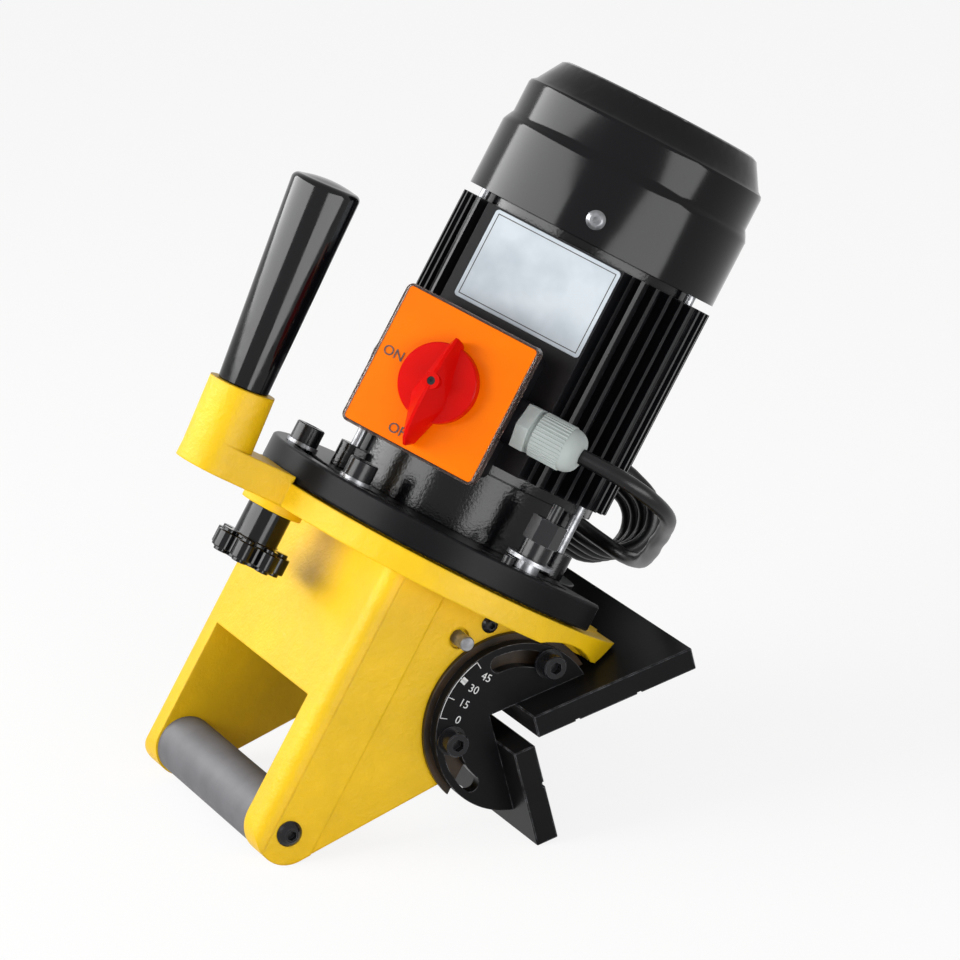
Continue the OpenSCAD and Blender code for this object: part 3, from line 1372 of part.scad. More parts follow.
base_casting();
wear_disc_near();
wear_disc_far();
index_pins();
quadrant_screws();
quadrant_washers();
register_screw();
grip_sleeve();
grip_rod();
grip_screws();
side_handle();
handle_stud();
ring_screws();
ring_studs();
ring_washers();
ring_nuts();
quadrant_near();
quadrant_far();
upper_guide();
lower_guide();
guide_screws();
depth_ring();
stop_pin();
front_shield();
stator_housing();
nameplate();
tie_rods();
tie_rod_nuts();
rear_shield();
fan_cover();
cover_screws();
stator_core();
stator_windings();
front_bearing();
rear_bearing();
switch_box();
switch_core();
switch_plate();
switch_guard();
gland_body();
gland_cap();
cable_lead();
cable_hank();
hank_tie();
plug_body();
plug_pins();
motor_shaft();
rotor_core();
cooling_fan();
cutter_head();
cutter_inserts();
insert_screws();
cutter_bolt();
switch_knob();
dial_screw();
clamp_knob();
clamp_stud();
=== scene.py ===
"""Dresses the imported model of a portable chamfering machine: its finishes, the marks on its
scale and switch, its mains cable, and the studio that it is shown in."""

import json
import math

import bmesh
import bpy
from bpy.props import FloatProperty, FloatVectorProperty, IntProperty, PointerProperty
from mathutils import Matrix, Vector


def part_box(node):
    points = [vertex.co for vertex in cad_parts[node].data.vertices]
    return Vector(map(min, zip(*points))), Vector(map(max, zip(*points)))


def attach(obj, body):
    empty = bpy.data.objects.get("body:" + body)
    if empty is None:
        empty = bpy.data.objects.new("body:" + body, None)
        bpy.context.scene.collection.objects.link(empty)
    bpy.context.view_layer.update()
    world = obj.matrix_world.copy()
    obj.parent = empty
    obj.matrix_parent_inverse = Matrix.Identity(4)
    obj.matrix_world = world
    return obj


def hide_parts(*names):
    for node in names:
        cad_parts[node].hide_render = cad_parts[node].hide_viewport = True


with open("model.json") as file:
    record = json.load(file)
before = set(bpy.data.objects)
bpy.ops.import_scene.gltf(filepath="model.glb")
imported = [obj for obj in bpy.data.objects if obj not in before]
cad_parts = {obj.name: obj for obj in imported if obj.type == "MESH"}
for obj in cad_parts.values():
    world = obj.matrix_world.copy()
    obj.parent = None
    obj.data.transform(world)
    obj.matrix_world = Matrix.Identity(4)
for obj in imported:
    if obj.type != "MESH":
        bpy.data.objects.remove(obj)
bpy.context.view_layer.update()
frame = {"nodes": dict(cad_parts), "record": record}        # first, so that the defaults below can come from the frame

bl_info = {
    "name": "Chamfering machine",
    "version": (1, 0, 0),
    "blender": (4, 5, 0),
    "location": "View3D > Sidebar > Chamfering machine",
    "description": "Finishes, marks, mains cable and studio for the packed chamfering machine",
    "category": "Object",
}

MM = 0.001
BODIES = frame["record"]["behaviour"]["bodies"]
JOINTS = {joint["name"]: joint for joint in frame["record"]["behaviour"]["joints"]}
SLOTS = {part["node"]: part["material_slot"] for part in frame["record"]["subparts"]}

# The machine leans as it rests on its cheek ends and its lower guide. The depth ring's joint
# lies on the bore's axis, at the height of the plate's top, so it gives the whole stance.
BORE = Vector(JOINTS["ring_turn"]["pos_m"])
BORE_AXIS = Vector(JOINTS["ring_turn"]["axis"])
STAND = Matrix.Translation(BORE) @ Matrix.Rotation(math.atan2(BORE_AXIS.x, BORE_AXIS.z), 4, "Y")
APEX = STAND.inverted() @ Vector(JOINTS["guide_swing"]["pos_m"])
MOTOR_AXIS = STAND.inverted() @ Vector(JOINTS["rotor_spin"]["pos_m"])


def linear(hex_colour):
    """A colour written in sRGB hex, as the linear red, green, blue and alpha that shaders take."""
    parts = [int(hex_colour[i:i + 2], 16) / 255 for i in (0, 2, 4)]
    return tuple(p / 12.92 if p <= 0.04045 else ((p + 0.055) / 1.055) ** 2.4 for p in parts) + (1.0,)


# Sizes and colours

def paint(name, description, hex_colour):
    """A colour that the user can change."""
    return FloatVectorProperty(name=name, description=description, subtype="COLOR", size=4, min=0, max=1,
                               default=linear(hex_colour))


class ChamferColours(bpy.types.PropertyGroup):
    """Colours of the machine's paints and plastics"""
    enamel: paint("Casting enamel", "Yellow stove enamel of the base casting", "F0C208")
    motor: paint("Motor paint", "Black paint of the motor's shields, housing and cover", "0C0C0F")
    blackened: paint("Blackened steel", "Black oxide on the ring, the guides and the quadrants", "141416")
    grips: paint("Handle and knob", "Phenolic plastic of the side handle and the star knob", "08080B")
    sleeve: paint("Grip sleeve", "Grey rubber of the lower grip's sleeve", "606064")
    switch_front: paint("Switch plate", "Orange plastic of the switch's square front", "FF7900")
    dial: paint("Switch dial", "Red plastic of the switch's dial", "D40A05")
    gland: paint("Cable gland", "Light grey nylon of the cable gland", "B4BCBA")


class ChamferSizes(bpy.types.PropertyGroup):
    """Sizes of the pieces that are made here"""
    cable_diameter: FloatProperty(
        name="Cable diameter", description="Outer diameter of the mains cable's sheath",
        unit="LENGTH", min=0.006, max=0.0086, default=8.5 * MM)
    cable_length: FloatProperty(
        name="Cable length", description="Length of the mains cable from the gland to the plug",
        unit="LENGTH", min=1.5, max=2.6, default=2.027)
    edge_round: FloatProperty(
        name="Casting edge", description="Rounding of the casting's edges under its enamel",
        unit="LENGTH", min=0.0002, max=0.0015, default=0.9 * MM)
    scale_radius: FloatProperty(
        name="Scale radius", description="Radius of the arc that the scale's marks stand on",
        unit="LENGTH", min=0.038, max=0.047, default=45.4 * MM)
    scale_count: IntProperty(
        name="Scale marks", description="Number of marks from a 45 degree chamfer down to none",
        min=4, max=46, default=4)
    ink: FloatProperty(
        name="Ink thickness", description="Thickness of printed lines, thicker than real ink so that it shows",
        unit="LENGTH", min=0.00002, max=0.0002, default=0.06 * MM)


class ChamferStudio(bpy.types.PropertyGroup):
    """The camera, the lamps and the floor"""
    lens: FloatProperty(
        name="Lens", description="Focal length on a 36 mm sensor", min=50, max=400, default=175.69)
    distance: FloatProperty(
        name="Camera distance", description="Distance from the camera to the bore's mouth, along its view",
        unit="LENGTH", min=1, max=6, default=2.5057)
    side_lamp: FloatProperty(
        name="Side lamp", description="Power of the large lamp on the left wall's side, in watts",
        min=0, max=100, default=17.0)
    front_lamp: FloatProperty(
        name="Front lamp", description="Power of the lamp in front of the near cheek, in watts",
        min=0, max=100, default=6.0)
    side_panel: FloatProperty(
        name="Side panel", description="Power of the long panel that gloss mirrors on its left, in watts",
        min=0, max=200, default=46.0)
    front_panel: FloatProperty(
        name="Front panel", description="Power of the panel that gloss mirrors on its right, in watts",
        min=0, max=200, default=10.0)
    around: FloatProperty(
        name="Room light", description="Strength of the plain light from all round",
        min=0, max=1, default=0.38)
    floor: paint("Floor", "Colour of the floor", "F6F6F6")


# Finishes. The photograph's blacks are deeper than a paint of the usual index of refraction, 1.4 to
# 1.5, gives in a room that is white all round, so the paints and plastics have a lower one.

def add(tree, kind, sockets=(), **settings):
    """Adds a node with its settings. A socket gets a value, or a link where a socket is given."""
    made = tree.nodes.new(kind)
    for name, value in settings.items():
        setattr(made, name, value)
    for name, value in dict(sockets).items():
        socket = made.inputs[name]
        if isinstance(value, bpy.types.NodeSocket):
            tree.links.new(value, socket)
        else:
            socket.default_value = value
    return made


def maths(tree, operation, *values):
    """Adds a Math node and gives its result."""
    return add(tree, "ShaderNodeMath", enumerate(values), operation=operation).outputs["Value"]


class Finish:
    """A material while it is built: its tree, its shader, and its colour and relief so far.

    Patterns lie on the piece's own place in metres. Sizes are those of their features.
    """

    def __init__(self, name, colour, roughness, metallic=0.0, ior=1.5):
        self.material = bpy.data.materials.new(name)
        self.material.use_nodes = True
        self.tree = self.material.node_tree
        self.tree.nodes.clear()
        self.colour, self.relief = tuple(colour), None
        self.shader = add(self.tree, "ShaderNodeBsdfPrincipled",
                          {"Base Color": self.colour, "Roughness": roughness, "Metallic": metallic})
        if not metallic:
            self.shader.inputs["IOR"].default_value = ior
        add(self.tree, "ShaderNodeOutputMaterial", {"Surface": self.shader.outputs["BSDF"]})
        self.place = add(self.tree, "ShaderNodeTexCoord").outputs["Object"]

    def noise(self, size, detail=2.0, roughness=0.5, place=None):
        """A cloudy pattern, on the piece's own place or on one that was laid."""
        return add(self.tree, "ShaderNodeTexNoise", {"Vector": self.place if place is None else place,
                                                     "Scale": 1 / size, "Detail": detail,
                                                     "Roughness": roughness}).outputs["Fac"]

    def laid(self, rotation=(0.0, 0.0, 0.0), scale=(1.0, 1.0, 1.0)):
        """The place turned and stretched, for a pattern that has a direction."""
        return add(self.tree, "ShaderNodeMapping",
                   {"Vector": self.place, "Rotation": rotation, "Scale": scale}).outputs["Vector"]

    def between(self, value, low, high, to_low=0.0, to_high=1.0):
        """A value's way from low to high, as an amount."""
        return add(self.tree, "ShaderNodeMapRange", {"Value": value, "From Min": low, "From Max": high,
                                                     "To Min": to_low, "To Max": to_high}).outputs["Result"]

    def softened(self, radius):
        """Rounds the edges in the light only, under the relief."""
        self.relief = add(self.tree, "ShaderNodeBevel", {"Radius": radius}, samples=6).outputs["Normal"]

    def raised(self, height, depth):
        """Raises the surface by a pattern of this depth, over the relief that it has."""
        sockets = {"Height": height, "Distance": depth, "Strength": 1.0}
        if self.relief is not None:
            sockets["Normal"] = self.relief
        self.relief = add(self.tree, "ShaderNodeBump", sockets).outputs["Normal"]
        self.tree.links.new(self.relief, self.shader.inputs["Normal"])

    def blended(self, amount, end):
        """Turns the colour so far into the end colour by an amount."""
        mix = add(self.tree, "ShaderNodeMix", {"Factor": amount}, data_type="RGBA")
        first, second = [s for s in mix.inputs if s.type == "RGBA"]
        second.default_value = end
        if isinstance(self.colour, bpy.types.NodeSocket):
            self.tree.links.new(self.colour, first)
        else:
            first.default_value = self.colour
        self.colour = next(s for s in mix.outputs if s.type == "RGBA")
        self.tree.links.new(self.colour, self.shader.inputs["Base Color"])

    def mottled(self, size, light, dark):
        """Lets the colour drift between two tones, as paint and plastic do over a few centimetres."""
        self.colour = dark
        self.blended(self.between(self.noise(size, 3.0), 0.35, 0.65), light)

    def faded(self, size, share):
        """Lets the colour drift down to a share of its light."""
        self.mottled(size, self.colour, tuple(c * share for c in self.colour[:3]) + (1.0,))

    def worn(self, worn_and_lit_colour, width, share):
        """Lightens the colour along the edges, more in some places than in others: partly wear down to the metal,
        partly a painted highlight.
        """
        flat = add(self.tree, "ShaderNodeNewGeometry").outputs["Normal"]
        rounded = add(self.tree, "ShaderNodeBevel", {"Radius": width}, samples=4).outputs["Normal"]
        level = add(self.tree, "ShaderNodeVectorMath", {0: rounded, 1: flat},
                    operation="DOT_PRODUCT").outputs["Value"]
        # the edge mask below lightens the colour as painted highlight as well as wear
        edge = self.between(level, 0.995, 0.93)      # it is 1 away from every edge
        patch = self.between(self.noise(6 * MM, 4.0), 0.35, 0.7, to_high=share)
        self.blended(maths(self.tree, "MULTIPLY", edge, patch), worn_and_lit_colour)


def yellow_enamel(colours):
    """Stove enamel on sand-cast iron: the sand's grain shows through as fine pits under a soft gloss."""
    enamel = Finish("yellow_stove_enamel", colours.enamel, 0.42, ior=1.30)
    enamel.faded(30 * MM, 0.90)
    enamel.softened(1.8 * MM)
    enamel.raised(enamel.noise(1.5 * MM, 4.0, 0.65), 0.28 * MM)
    enamel.raised(enamel.noise(8 * MM), 0.50 * MM)
    return enamel.material


def motor_enamel(colours):
    """Thick black enamel sprayed on a casting: it dries into orange peel that breaks up its gloss."""
    enamel = Finish("motor_orange_peel_enamel", colours.motor, 0.16, ior=1.30)
    enamel.softened(1.2 * MM)
    enamel.raised(enamel.noise(1.5 * MM), 0.10 * MM)
    enamel.raised(enamel.noise(0.6 * MM), 0.015 * MM)
    return enamel.material


def housing_paint(colours):
    """Satin black paint on die-cast aluminium fins, lighter on their tips: the paint a little thin there, and a
    painted highlight.
    """
    satin = Finish("housing_satin_paint", colours.motor, 0.28, ior=1.28)
    satin.raised(satin.noise(1.2 * MM, 3.0), 0.02 * MM)
    # The fin tips lightened: a painted highlight, mixed with wear down to the aluminium.
    satin.worn(linear("55555A"), 0.5 * MM, 0.75)
    return satin.material


def cover_paint(colours):
    """Gloss black paint on deep-drawn sheet steel: broad soft highlights with faint waves."""
    gloss = Finish("cover_gloss_paint", colours.motor, 0.13, ior=1.25)
    gloss.raised(gloss.noise(28 * MM, 1.0), 0.12 * MM)
    gloss.raised(gloss.noise(0.8 * MM), 0.003 * MM)
    return gloss.material


def blackened_steel(colours):
    """Milled steel with black oxide: satin, with the mill's fine lines, and its edges lightened partly by wear down to
    the metal and partly by a painted highlight.
    """
    steel = Finish("blackened_milled_steel", colours.blackened, 0.32, ior=1.15)
    mill = steel.laid(rotation=(0.0, math.radians(45), 0.0), scale=(1.0, 0.06, 1.0))
    steel.raised(steel.noise(0.7 * MM, place=mill), 0.006 * MM)
    steel.raised(steel.noise(12 * MM), 0.05 * MM)
    steel.mottled(18 * MM, steel.colour, linear("161617"))
    # Edges lightened: partly wear down to the steel, partly a painted highlight.
    steel.worn(linear("8A8B90"), 0.7 * MM, 0.85)
    return steel.material


def browned_disc():
    """Turned steel that was browned in hot oil: dark, with a warm tone."""
    steel = Finish("oil_browned_steel", linear("2E2318"), 0.30, ior=1.32)
    steel.mottled(16 * MM, linear("3A2B1C"), linear("1A140E"))
    steel.raised(steel.noise(0.8 * MM, 3.0), 0.006 * MM)
    return steel.material


def black_screws():
    """Socket screws and nuts with black oxide, forged and turned: smooth, a little oily."""
    steel = Finish("black_oxide_screw", linear("17171A"), 0.22, ior=1.32)
    steel.raised(steel.noise(0.5 * MM), 0.004 * MM)
    # Edges lightened: partly wear through the oxide, partly a painted highlight.
    steel.worn(linear("6E6E74"), 0.35 * MM, 0.8)
    return steel.material


def bright_steel():
    """Turned, zinc-plated steel with a grey passivated coat: half a mirror, with fine turning marks."""
    steel = Finish("zinc_plated_steel", linear("77787B"), 0.34, metallic=0.6)
    steel.mottled(4 * MM, linear("8E8F92"), linear("6C6D70"))
    steel.raised(steel.noise(0.4 * MM), 0.004 * MM)
    return steel.material


def lacquered_plate():
    """Brushed aluminium sheet under a silver-grey lacquer: pale and satin, with lines along its length."""
    sheet = Finish("brushed_anodised_aluminium", linear("B9C1C8"), 0.50, metallic=0.12)
    brushed = sheet.laid(rotation=(0.0, 0.52, 0.785), scale=(0.04, 0.04, 1.0))
    sheet.raised(sheet.noise(0.35 * MM, 3.0, place=brushed), 0.004 * MM)
    sheet.mottled(25 * MM, linear("BEC6CC"), linear("A9B2BA"))
    return sheet.material


def grip_bakelite(colours):
    """Compression-moulded phenolic: deep black with a hard polish and a few dull specks."""
    phenolic = Finish("moulded_phenolic", colours.grips, 0.08, ior=1.32)
    phenolic.raised(phenolic.noise(22 * MM, 1.0), 0.10 * MM)
    phenolic.raised(phenolic.noise(0.7 * MM), 0.0015 * MM)
    dull = phenolic.between(phenolic.noise(9 * MM, 4.0), 0.3, 0.75, 0.07, 0.16)
    phenolic.tree.links.new(dull, phenolic.shader.inputs["Roughness"])
    return phenolic.material


def sleeve_rubber(colours):
    """Extruded grey rubber: matt, with scuffs and a dusty bloom."""
    rubber = Finish("extruded_grey_rubber", colours.sleeve, 0.62)
    rubber.faded(14 * MM, 0.80)
    rubber.raised(rubber.noise(0.6 * MM, 4.0, 0.6), 0.02 * MM)
    return rubber.material


def moulded_plastic(name, colour, roughness):
    """Injection-moulded plastic: an even colour under a fine spark-eroded grain."""
    plastic = Finish(name, colour, roughness, ior=1.14)
    plastic.faded(20 * MM, 0.93)
    plastic.raised(plastic.noise(0.5 * MM), 0.006 * MM)
    return plastic.material


def clear_guard():
    """Moulded clear polycarbonate: see-through, with dark and bright lines where its edges bend the light."""
    guard = Finish("clear_polycarbonate", linear("A3928C"), 0.04, ior=1.25)
    guard.shader.inputs["Transmission Weight"].default_value = 0.9
    return guard.material


def cable_sheath():
    """Extruded black rubber sheath: satin, a little uneven from the extruder."""
    rubber = Finish("rubber_cable_sheath", linear("111114"), 0.34, ior=1.32)
    rubber.raised(rubber.noise(1.4 * MM, 3.0), 0.02 * MM)
    rubber.mottled(15 * MM, linear("141417"), linear("0B0B0D"))
    return rubber.material


def strap_webbing():
    """Woven black nylon strap: a plain weave of 1 mm threads."""
    nylon = Finish("woven_nylon_strap", linear("16161A"), 0.75, ior=1.45)
    along = nylon.laid(rotation=(0.0, 0.0, 0.52))
    warp, weft = [add(nylon.tree, "ShaderNodeTexWave", {"Vector": along, "Scale": 1 / (2 * math.pi * MM)},
                      wave_type="BANDS", bands_direction=way).outputs["Fac"] for way in "XZ"]
    nylon.raised(maths(nylon.tree, "MULTIPLY", warp, weft), 0.15 * MM)
    return nylon.material


def coil_copper():
    """Enamelled copper wire, wound and varnished."""
    copper = Finish("varnished_copper_wire", linear("B06A3A"), 0.35, metallic=0.85)
    copper.raised(copper.noise(1.0 * MM, place=copper.laid(scale=(1.0, 1.0, 3.0))), 0.10 * MM)
    return copper.material


def stacked_plates():
    """Stamped electrical steel in a stack: dull grey with fine edges of 0.5 mm plates."""
    stack = Finish("stacked_electrical_steel", linear("6B6D70"), 0.45, metallic=0.8)
    across = stack.laid(rotation=(0.0, math.radians(-30), 0.0), scale=(0.02, 0.02, 1.0))
    stack.raised(stack.noise(0.5 * MM, 1.0, place=across), 0.05 * MM)
    return stack.material


def carbide():
    """Pressed and sintered carbide with a gold-coloured nitride coat, which leaves a fine even grain."""
    coat = Finish("coated_carbide", linear("C9A24A"), 0.28, metallic=0.9)
    coat.raised(coat.noise(0.3 * MM), 0.003 * MM)
    return coat.material


def pin_nickel():
    """Turned brass pins under bright nickel plating: nearly a mirror."""
    nickel = Finish("nickel_plated_brass", linear("CFC8B4"), 0.16, metallic=1.0)
    nickel.raised(nickel.noise(0.5 * MM), 0.002 * MM)
    return nickel.material


def ink(name, colour):
    """Screen-printing ink, laid on in one thin matt coat with slightly uneven cover."""
    coat = Finish(name, linear(colour), 0.55)
    coat.faded(2 * MM, 0.85)
    return coat.material


FINISHES = {}


def make_finishes(colours):
    """Makes each finish once, under its slot's name in the record or, for a finish of its own, its own."""
    blackened = blackened_steel(colours)
    FINISHES.update({
        "yellow_enamel": yellow_enamel(colours),
        "black_enamel": blackened,
        "browned_steel": blackened,
        "cast_motor_metal": motor_enamel(colours),
        "housing": housing_paint(colours),
        "cover_steel": cover_paint(colours),
        "wear_disc": browned_disc(),
        "black_fasteners": black_screws(),
        "bright_steel": bright_steel(),
        "nameplate": lacquered_plate(),
        "core_plates": stacked_plates(),
        "copper_wire": coil_copper(),
        "coated_carbide": carbide(),
        "grey_rubber": sleeve_rubber(colours),
        "handle_bakelite": grip_bakelite(colours),
        "box_plastic": moulded_plastic("moulded_black_nylon", linear("111114"), 0.38),
        "orange_plastic": moulded_plastic("moulded_orange_abs", colours.switch_front, 0.30),
        "red_plastic": moulded_plastic("moulded_red_abs", colours.dial, 0.26),
        "clear_plastic": clear_guard(),
        "gland_nylon": moulded_plastic("moulded_grey_nylon", colours.gland, 0.42),
        "cable_rubber": cable_sheath(),
        "strap_nylon": strap_webbing(),
        "pin_metal": pin_nickel(),
        "white_ink": ink("white_screen_ink", "DADCDD"),
        "black_ink": ink("black_screen_ink", "2A2220"),
    })


# Making pieces

SHARP = math.radians(32)     # edges past this angle stay sharp, or are rounded
EDGE_STEPS = 2
TURNED_SIDES = 96
ARC_TURNS = [math.radians(10 * step) for step in range(10)]      # a quarter turn
UP = Vector((0, 0, 1))


def body_of_node(node):
    """The body of the record that a CAD node belongs to."""
    return next(name for name, nodes in BODIES.items() if node in nodes)


def on_body(piece, finish, body):
    """Gives a piece its finish and the body that it rides on."""
    piece.data.materials.clear()
    piece.data.materials.append(FINISHES[finish])
    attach(piece, body)
    return piece


def new_object(name, mesh):
    """Puts a mesh or a curve in the scene."""
    made = bpy.data.objects.new(name, mesh)
    bpy.context.collection.objects.link(made)
    return made


def new_piece(name, mesh, finish, body):
    """Puts a finished mesh in the scene as a piece that rides on a body."""
    return on_body(new_object(name, mesh), finish, body)


def plain_mesh(holder):
    """What an object's modifiers make, as a plain mesh."""
    bpy.context.view_layer.update()
    depsgraph = bpy.context.evaluated_depsgraph_get()
    return bpy.data.meshes.new_from_object(holder.evaluated_get(depsgraph), preserve_all_data_layers=True,
                                           depsgraph=depsgraph)


def shaded(bm):
    """Smooths the faces, with the edges past the sharp angle left sharp."""
    for face in bm.faces:
        face.smooth = True
    for line in bm.edges:
        line.smooth = len(line.link_faces) == 2 and line.calc_face_angle(math.pi) < SHARP


def mesh_from(bm, name):
    """Writes the faces to a new mesh and lets them go."""
    mesh = bpy.data.meshes.new(name)
    bm.to_mesh(mesh)
    bm.free()
    return mesh


def dress(node, finish=None, edge=0.0, shape=None):
    """Replaces a CAD node by a copy with its doubles merged, smooth shading and rounded edges."""
    bm = bmesh.new()
    bm.from_mesh(frame["nodes"][node].data)
    bmesh.ops.remove_doubles(bm, verts=bm.verts, dist=2e-6)
    bmesh.ops.dissolve_limit(bm, angle_limit=math.radians(0.4), verts=bm.verts, edges=bm.edges)
    if shape:
        shape(bm)
    shaded(bm)
    piece = new_object(node + "_dressed", mesh_from(bm, node + "_dressed"))
    if edge:
        bevel = piece.modifiers.new("edge", "BEVEL")
        bevel.width, bevel.segments = edge, EDGE_STEPS
        bevel.limit_method, bevel.angle_limit = "ANGLE", SHARP
        bevel.miter_outer = "MITER_ARC"
    weights = piece.modifiers.new("weights", "WEIGHTED_NORMAL")
    weights.keep_sharp = True
    mesh, old = plain_mesh(piece), piece.data
    piece.modifiers.clear()
    piece.data = mesh
    bpy.data.meshes.remove(old)
    slot = SLOTS[node]
    on_body(piece, finish or slot, body_of_node(node))
    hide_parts(node)
    return piece


def repaint(node):
    """Gives a CAD node that keeps its shape its finish."""
    shown = frame["nodes"][node]
    shown.data.materials.clear()
    shown.data.materials.append(FINISHES[SLOTS[node]])


def joined(name, meshes):
    """Joins meshes into one, which they are then removed for."""
    bm = bmesh.new()
    for mesh in meshes:
        bm.from_mesh(mesh)
        bpy.data.meshes.remove(mesh)
    return mesh_from(bm, name)


def lettered(text, size, place, thick):
    """A word or number as a closed mesh: its middle at the place's origin, read along X, facing Z."""
    curve = bpy.data.curves.new(text, "FONT")
    curve.body, curve.size, curve.extrude = text, size, thick / 2
    curve.align_x, curve.align_y, curve.resolution_u = "CENTER", "CENTER", 3
    holder = new_object(text, curve)
    mesh = plain_mesh(holder)
    bpy.data.objects.remove(holder)
    bpy.data.curves.remove(curve)
    bm = bmesh.new()
    bm.from_mesh(mesh)
    bmesh.ops.remove_doubles(bm, verts=bm.verts, dist=1e-7)
    bmesh.ops.recalc_face_normals(bm, faces=bm.faces)
    bm.transform(place)
    bm.to_mesh(mesh)
    bm.free()
    return mesh


def bar(length, width, thick, place):
    """A printed bar: its middle at the place's origin, its length along X."""
    bm = bmesh.new()
    bmesh.ops.create_cube(bm, size=1.0, matrix=place @ Matrix.Diagonal((length, width, thick, 1.0)))
    return mesh_from(bm, "bar")


def turned(name, outline, place):
    """A turned piece about the place's Z, from (radius, height) points that go round its section."""
    bm = bmesh.new()
    rings = []
    for radius, height in outline:
        steps = TURNED_SIDES if radius else 1
        turns = [math.tau * i / steps for i in range(steps)]
        rings.append([bm.verts.new((radius * math.cos(turn), radius * math.sin(turn), height)) for turn in turns])
    for low, high in zip(rings, rings[1:]):
        for i in range(TURNED_SIDES):
            corners = (low[i % len(low)], low[(i + 1) % len(low)], high[(i + 1) % len(high)], high[i % len(high)])
            bm.faces.new(dict.fromkeys(corners))
    bmesh.ops.remove_doubles(bm, verts=bm.verts, dist=1e-6)
    bmesh.ops.recalc_face_normals(bm, faces=bm.faces)
    shaded(bm)
    bm.transform(place)
    return mesh_from(bm, name)


# The motor's pad, as in the part's source: its direction, and the middle of the switch and the gland

PAD_ANGLE = math.radians(-135)
SWITCH_Z = 83
GLAND_X = 88


def standing(foot, way):
    """The place whose origin is the foot and whose Z is the way, both in the world."""
    return Matrix.Translation(foot) @ way.to_track_quat("Z", "Y").to_matrix().to_4x4()


def pad_ways():
    """The motor pad's own directions: outwards, and level along the pad."""
    return (Vector((math.cos(PAD_ANGLE), math.sin(PAD_ANGLE), 0)),
            Vector((-math.sin(PAD_ANGLE), math.cos(PAD_ANGLE), 0)))


def facing(origin, along, out):
    """A place in the world, given in the machine's own frame: X along, Z out of the surface."""
    x, z = Vector(along).normalized(), Vector(out).normalized()
    y = z.cross(x)
    turn = Matrix((x, y, z)).transposed().to_4x4()
    return STAND @ Matrix.Translation(Vector(origin)) @ turn


def begun_tree(name, **sizes):
    """Starts a Geometry Nodes tree with a named input for each size and one for its finish."""
    tree = bpy.data.node_groups.new(name, "GeometryNodeTree")
    for title, value in sizes.items():
        kind = "NodeSocketInt" if isinstance(value, int) else "NodeSocketFloat"
        tree.interface.new_socket(title, in_out="INPUT", socket_type=kind).default_value = value
    tree.interface.new_socket("Finish", in_out="INPUT", socket_type="NodeSocketMaterial")
    tree.interface.new_socket("Geometry", in_out="OUTPUT", socket_type="NodeSocketGeometry")
    return tree, add(tree, "NodeGroupInput").outputs


def end_tree(tree, geometry, finish):
    """Ends a tree: its instances are made real and get their finish."""
    real = add(tree, "GeometryNodeRealizeInstances", {"Geometry": geometry}).outputs["Geometry"]
    done = add(tree, "GeometryNodeSetMaterial", {"Geometry": real, "Material": finish}).outputs["Geometry"]
    add(tree, "NodeGroupOutput", {"Geometry": done})
    return tree


def grown(name, tree, values, place, finish):
    """Runs a Geometry Nodes tree with these values and gives the plain mesh, moved to its place."""
    holder = new_object(name, bpy.data.meshes.new(name))
    modifier = holder.modifiers.new("grown", "NODES")
    modifier.node_group = tree
    identifiers = {item.name: item.identifier for item in tree.interface.items_tree if item.in_out == "INPUT"}
    for key, value in {**values, "Finish": FINISHES[finish]}.items():
        modifier[identifiers[key]] = value
    mesh, old = plain_mesh(holder), holder.data
    holder.modifiers.clear()
    bpy.data.objects.remove(holder)
    bpy.data.meshes.remove(old)
    mesh.transform(place)
    return mesh


def scale_tree():
    """Geometry Nodes: an arc line with short marks that stand on it inwards, every few degrees."""
    tree, given = begun_tree("printed_scale", Radius=0.043, First=0.0, Step=0.1, Count=10, Length=0.003,
                             Width=0.0004, Thickness=0.00006)
    middle = maths(tree, "SUBTRACT", given["Radius"], maths(tree, "MULTIPLY", given["Length"], 0.5))
    points = add(tree, "GeometryNodeMeshLine", {"Count": given["Count"]}, mode="OFFSET").outputs["Mesh"]
    index = add(tree, "GeometryNodeInputIndex").outputs["Index"]
    turn = maths(tree, "MULTIPLY_ADD", index, given["Step"], given["First"])
    spot = add(tree, "ShaderNodeCombineXYZ", {"X": maths(tree, "COSINE", turn),
                                              "Y": maths(tree, "SINE", turn)}).outputs["Vector"]
    spot = add(tree, "ShaderNodeVectorMath", {0: spot, "Scale": middle}, operation="SCALE").outputs["Vector"]
    placed = add(tree, "GeometryNodeSetPosition", {"Geometry": points, "Position": spot}).outputs["Geometry"]
    size = add(tree, "ShaderNodeCombineXYZ", {"X": given["Length"], "Y": given["Width"],
                                              "Z": given["Thickness"]}).outputs["Vector"]
    mark = add(tree, "GeometryNodeMeshCube", {"Size": size}).outputs["Mesh"]
    around = add(tree, "ShaderNodeCombineXYZ", {"Z": turn}).outputs["Vector"]
    marks = add(tree, "GeometryNodeInstanceOnPoints", {"Points": placed, "Instance": mark,
                                                       "Rotation": around}).outputs["Instances"]
    sweep = maths(tree, "MULTIPLY", maths(tree, "SUBTRACT", given["Count"], 1.0), given["Step"])
    arc = add(tree, "GeometryNodeCurveArc", {"Resolution": 48, "Radius": given["Radius"],
                                             "Start Angle": given["First"],
                                             "Sweep Angle": sweep}).outputs["Curve"]
    section = add(tree, "GeometryNodeCurvePrimitiveQuadrilateral",
                  {"Width": given["Width"], "Height": given["Thickness"]}).outputs["Curve"]
    line = add(tree, "GeometryNodeCurveToMesh", {"Curve": arc, "Profile Curve": section,
                                                 "Fill Caps": True}).outputs["Mesh"]
    both = add(tree, "GeometryNodeJoinGeometry")
    tree.links.new(marks, both.inputs["Geometry"])
    tree.links.new(line, both.inputs["Geometry"])
    return end_tree(tree, both.outputs["Geometry"], given["Finish"])


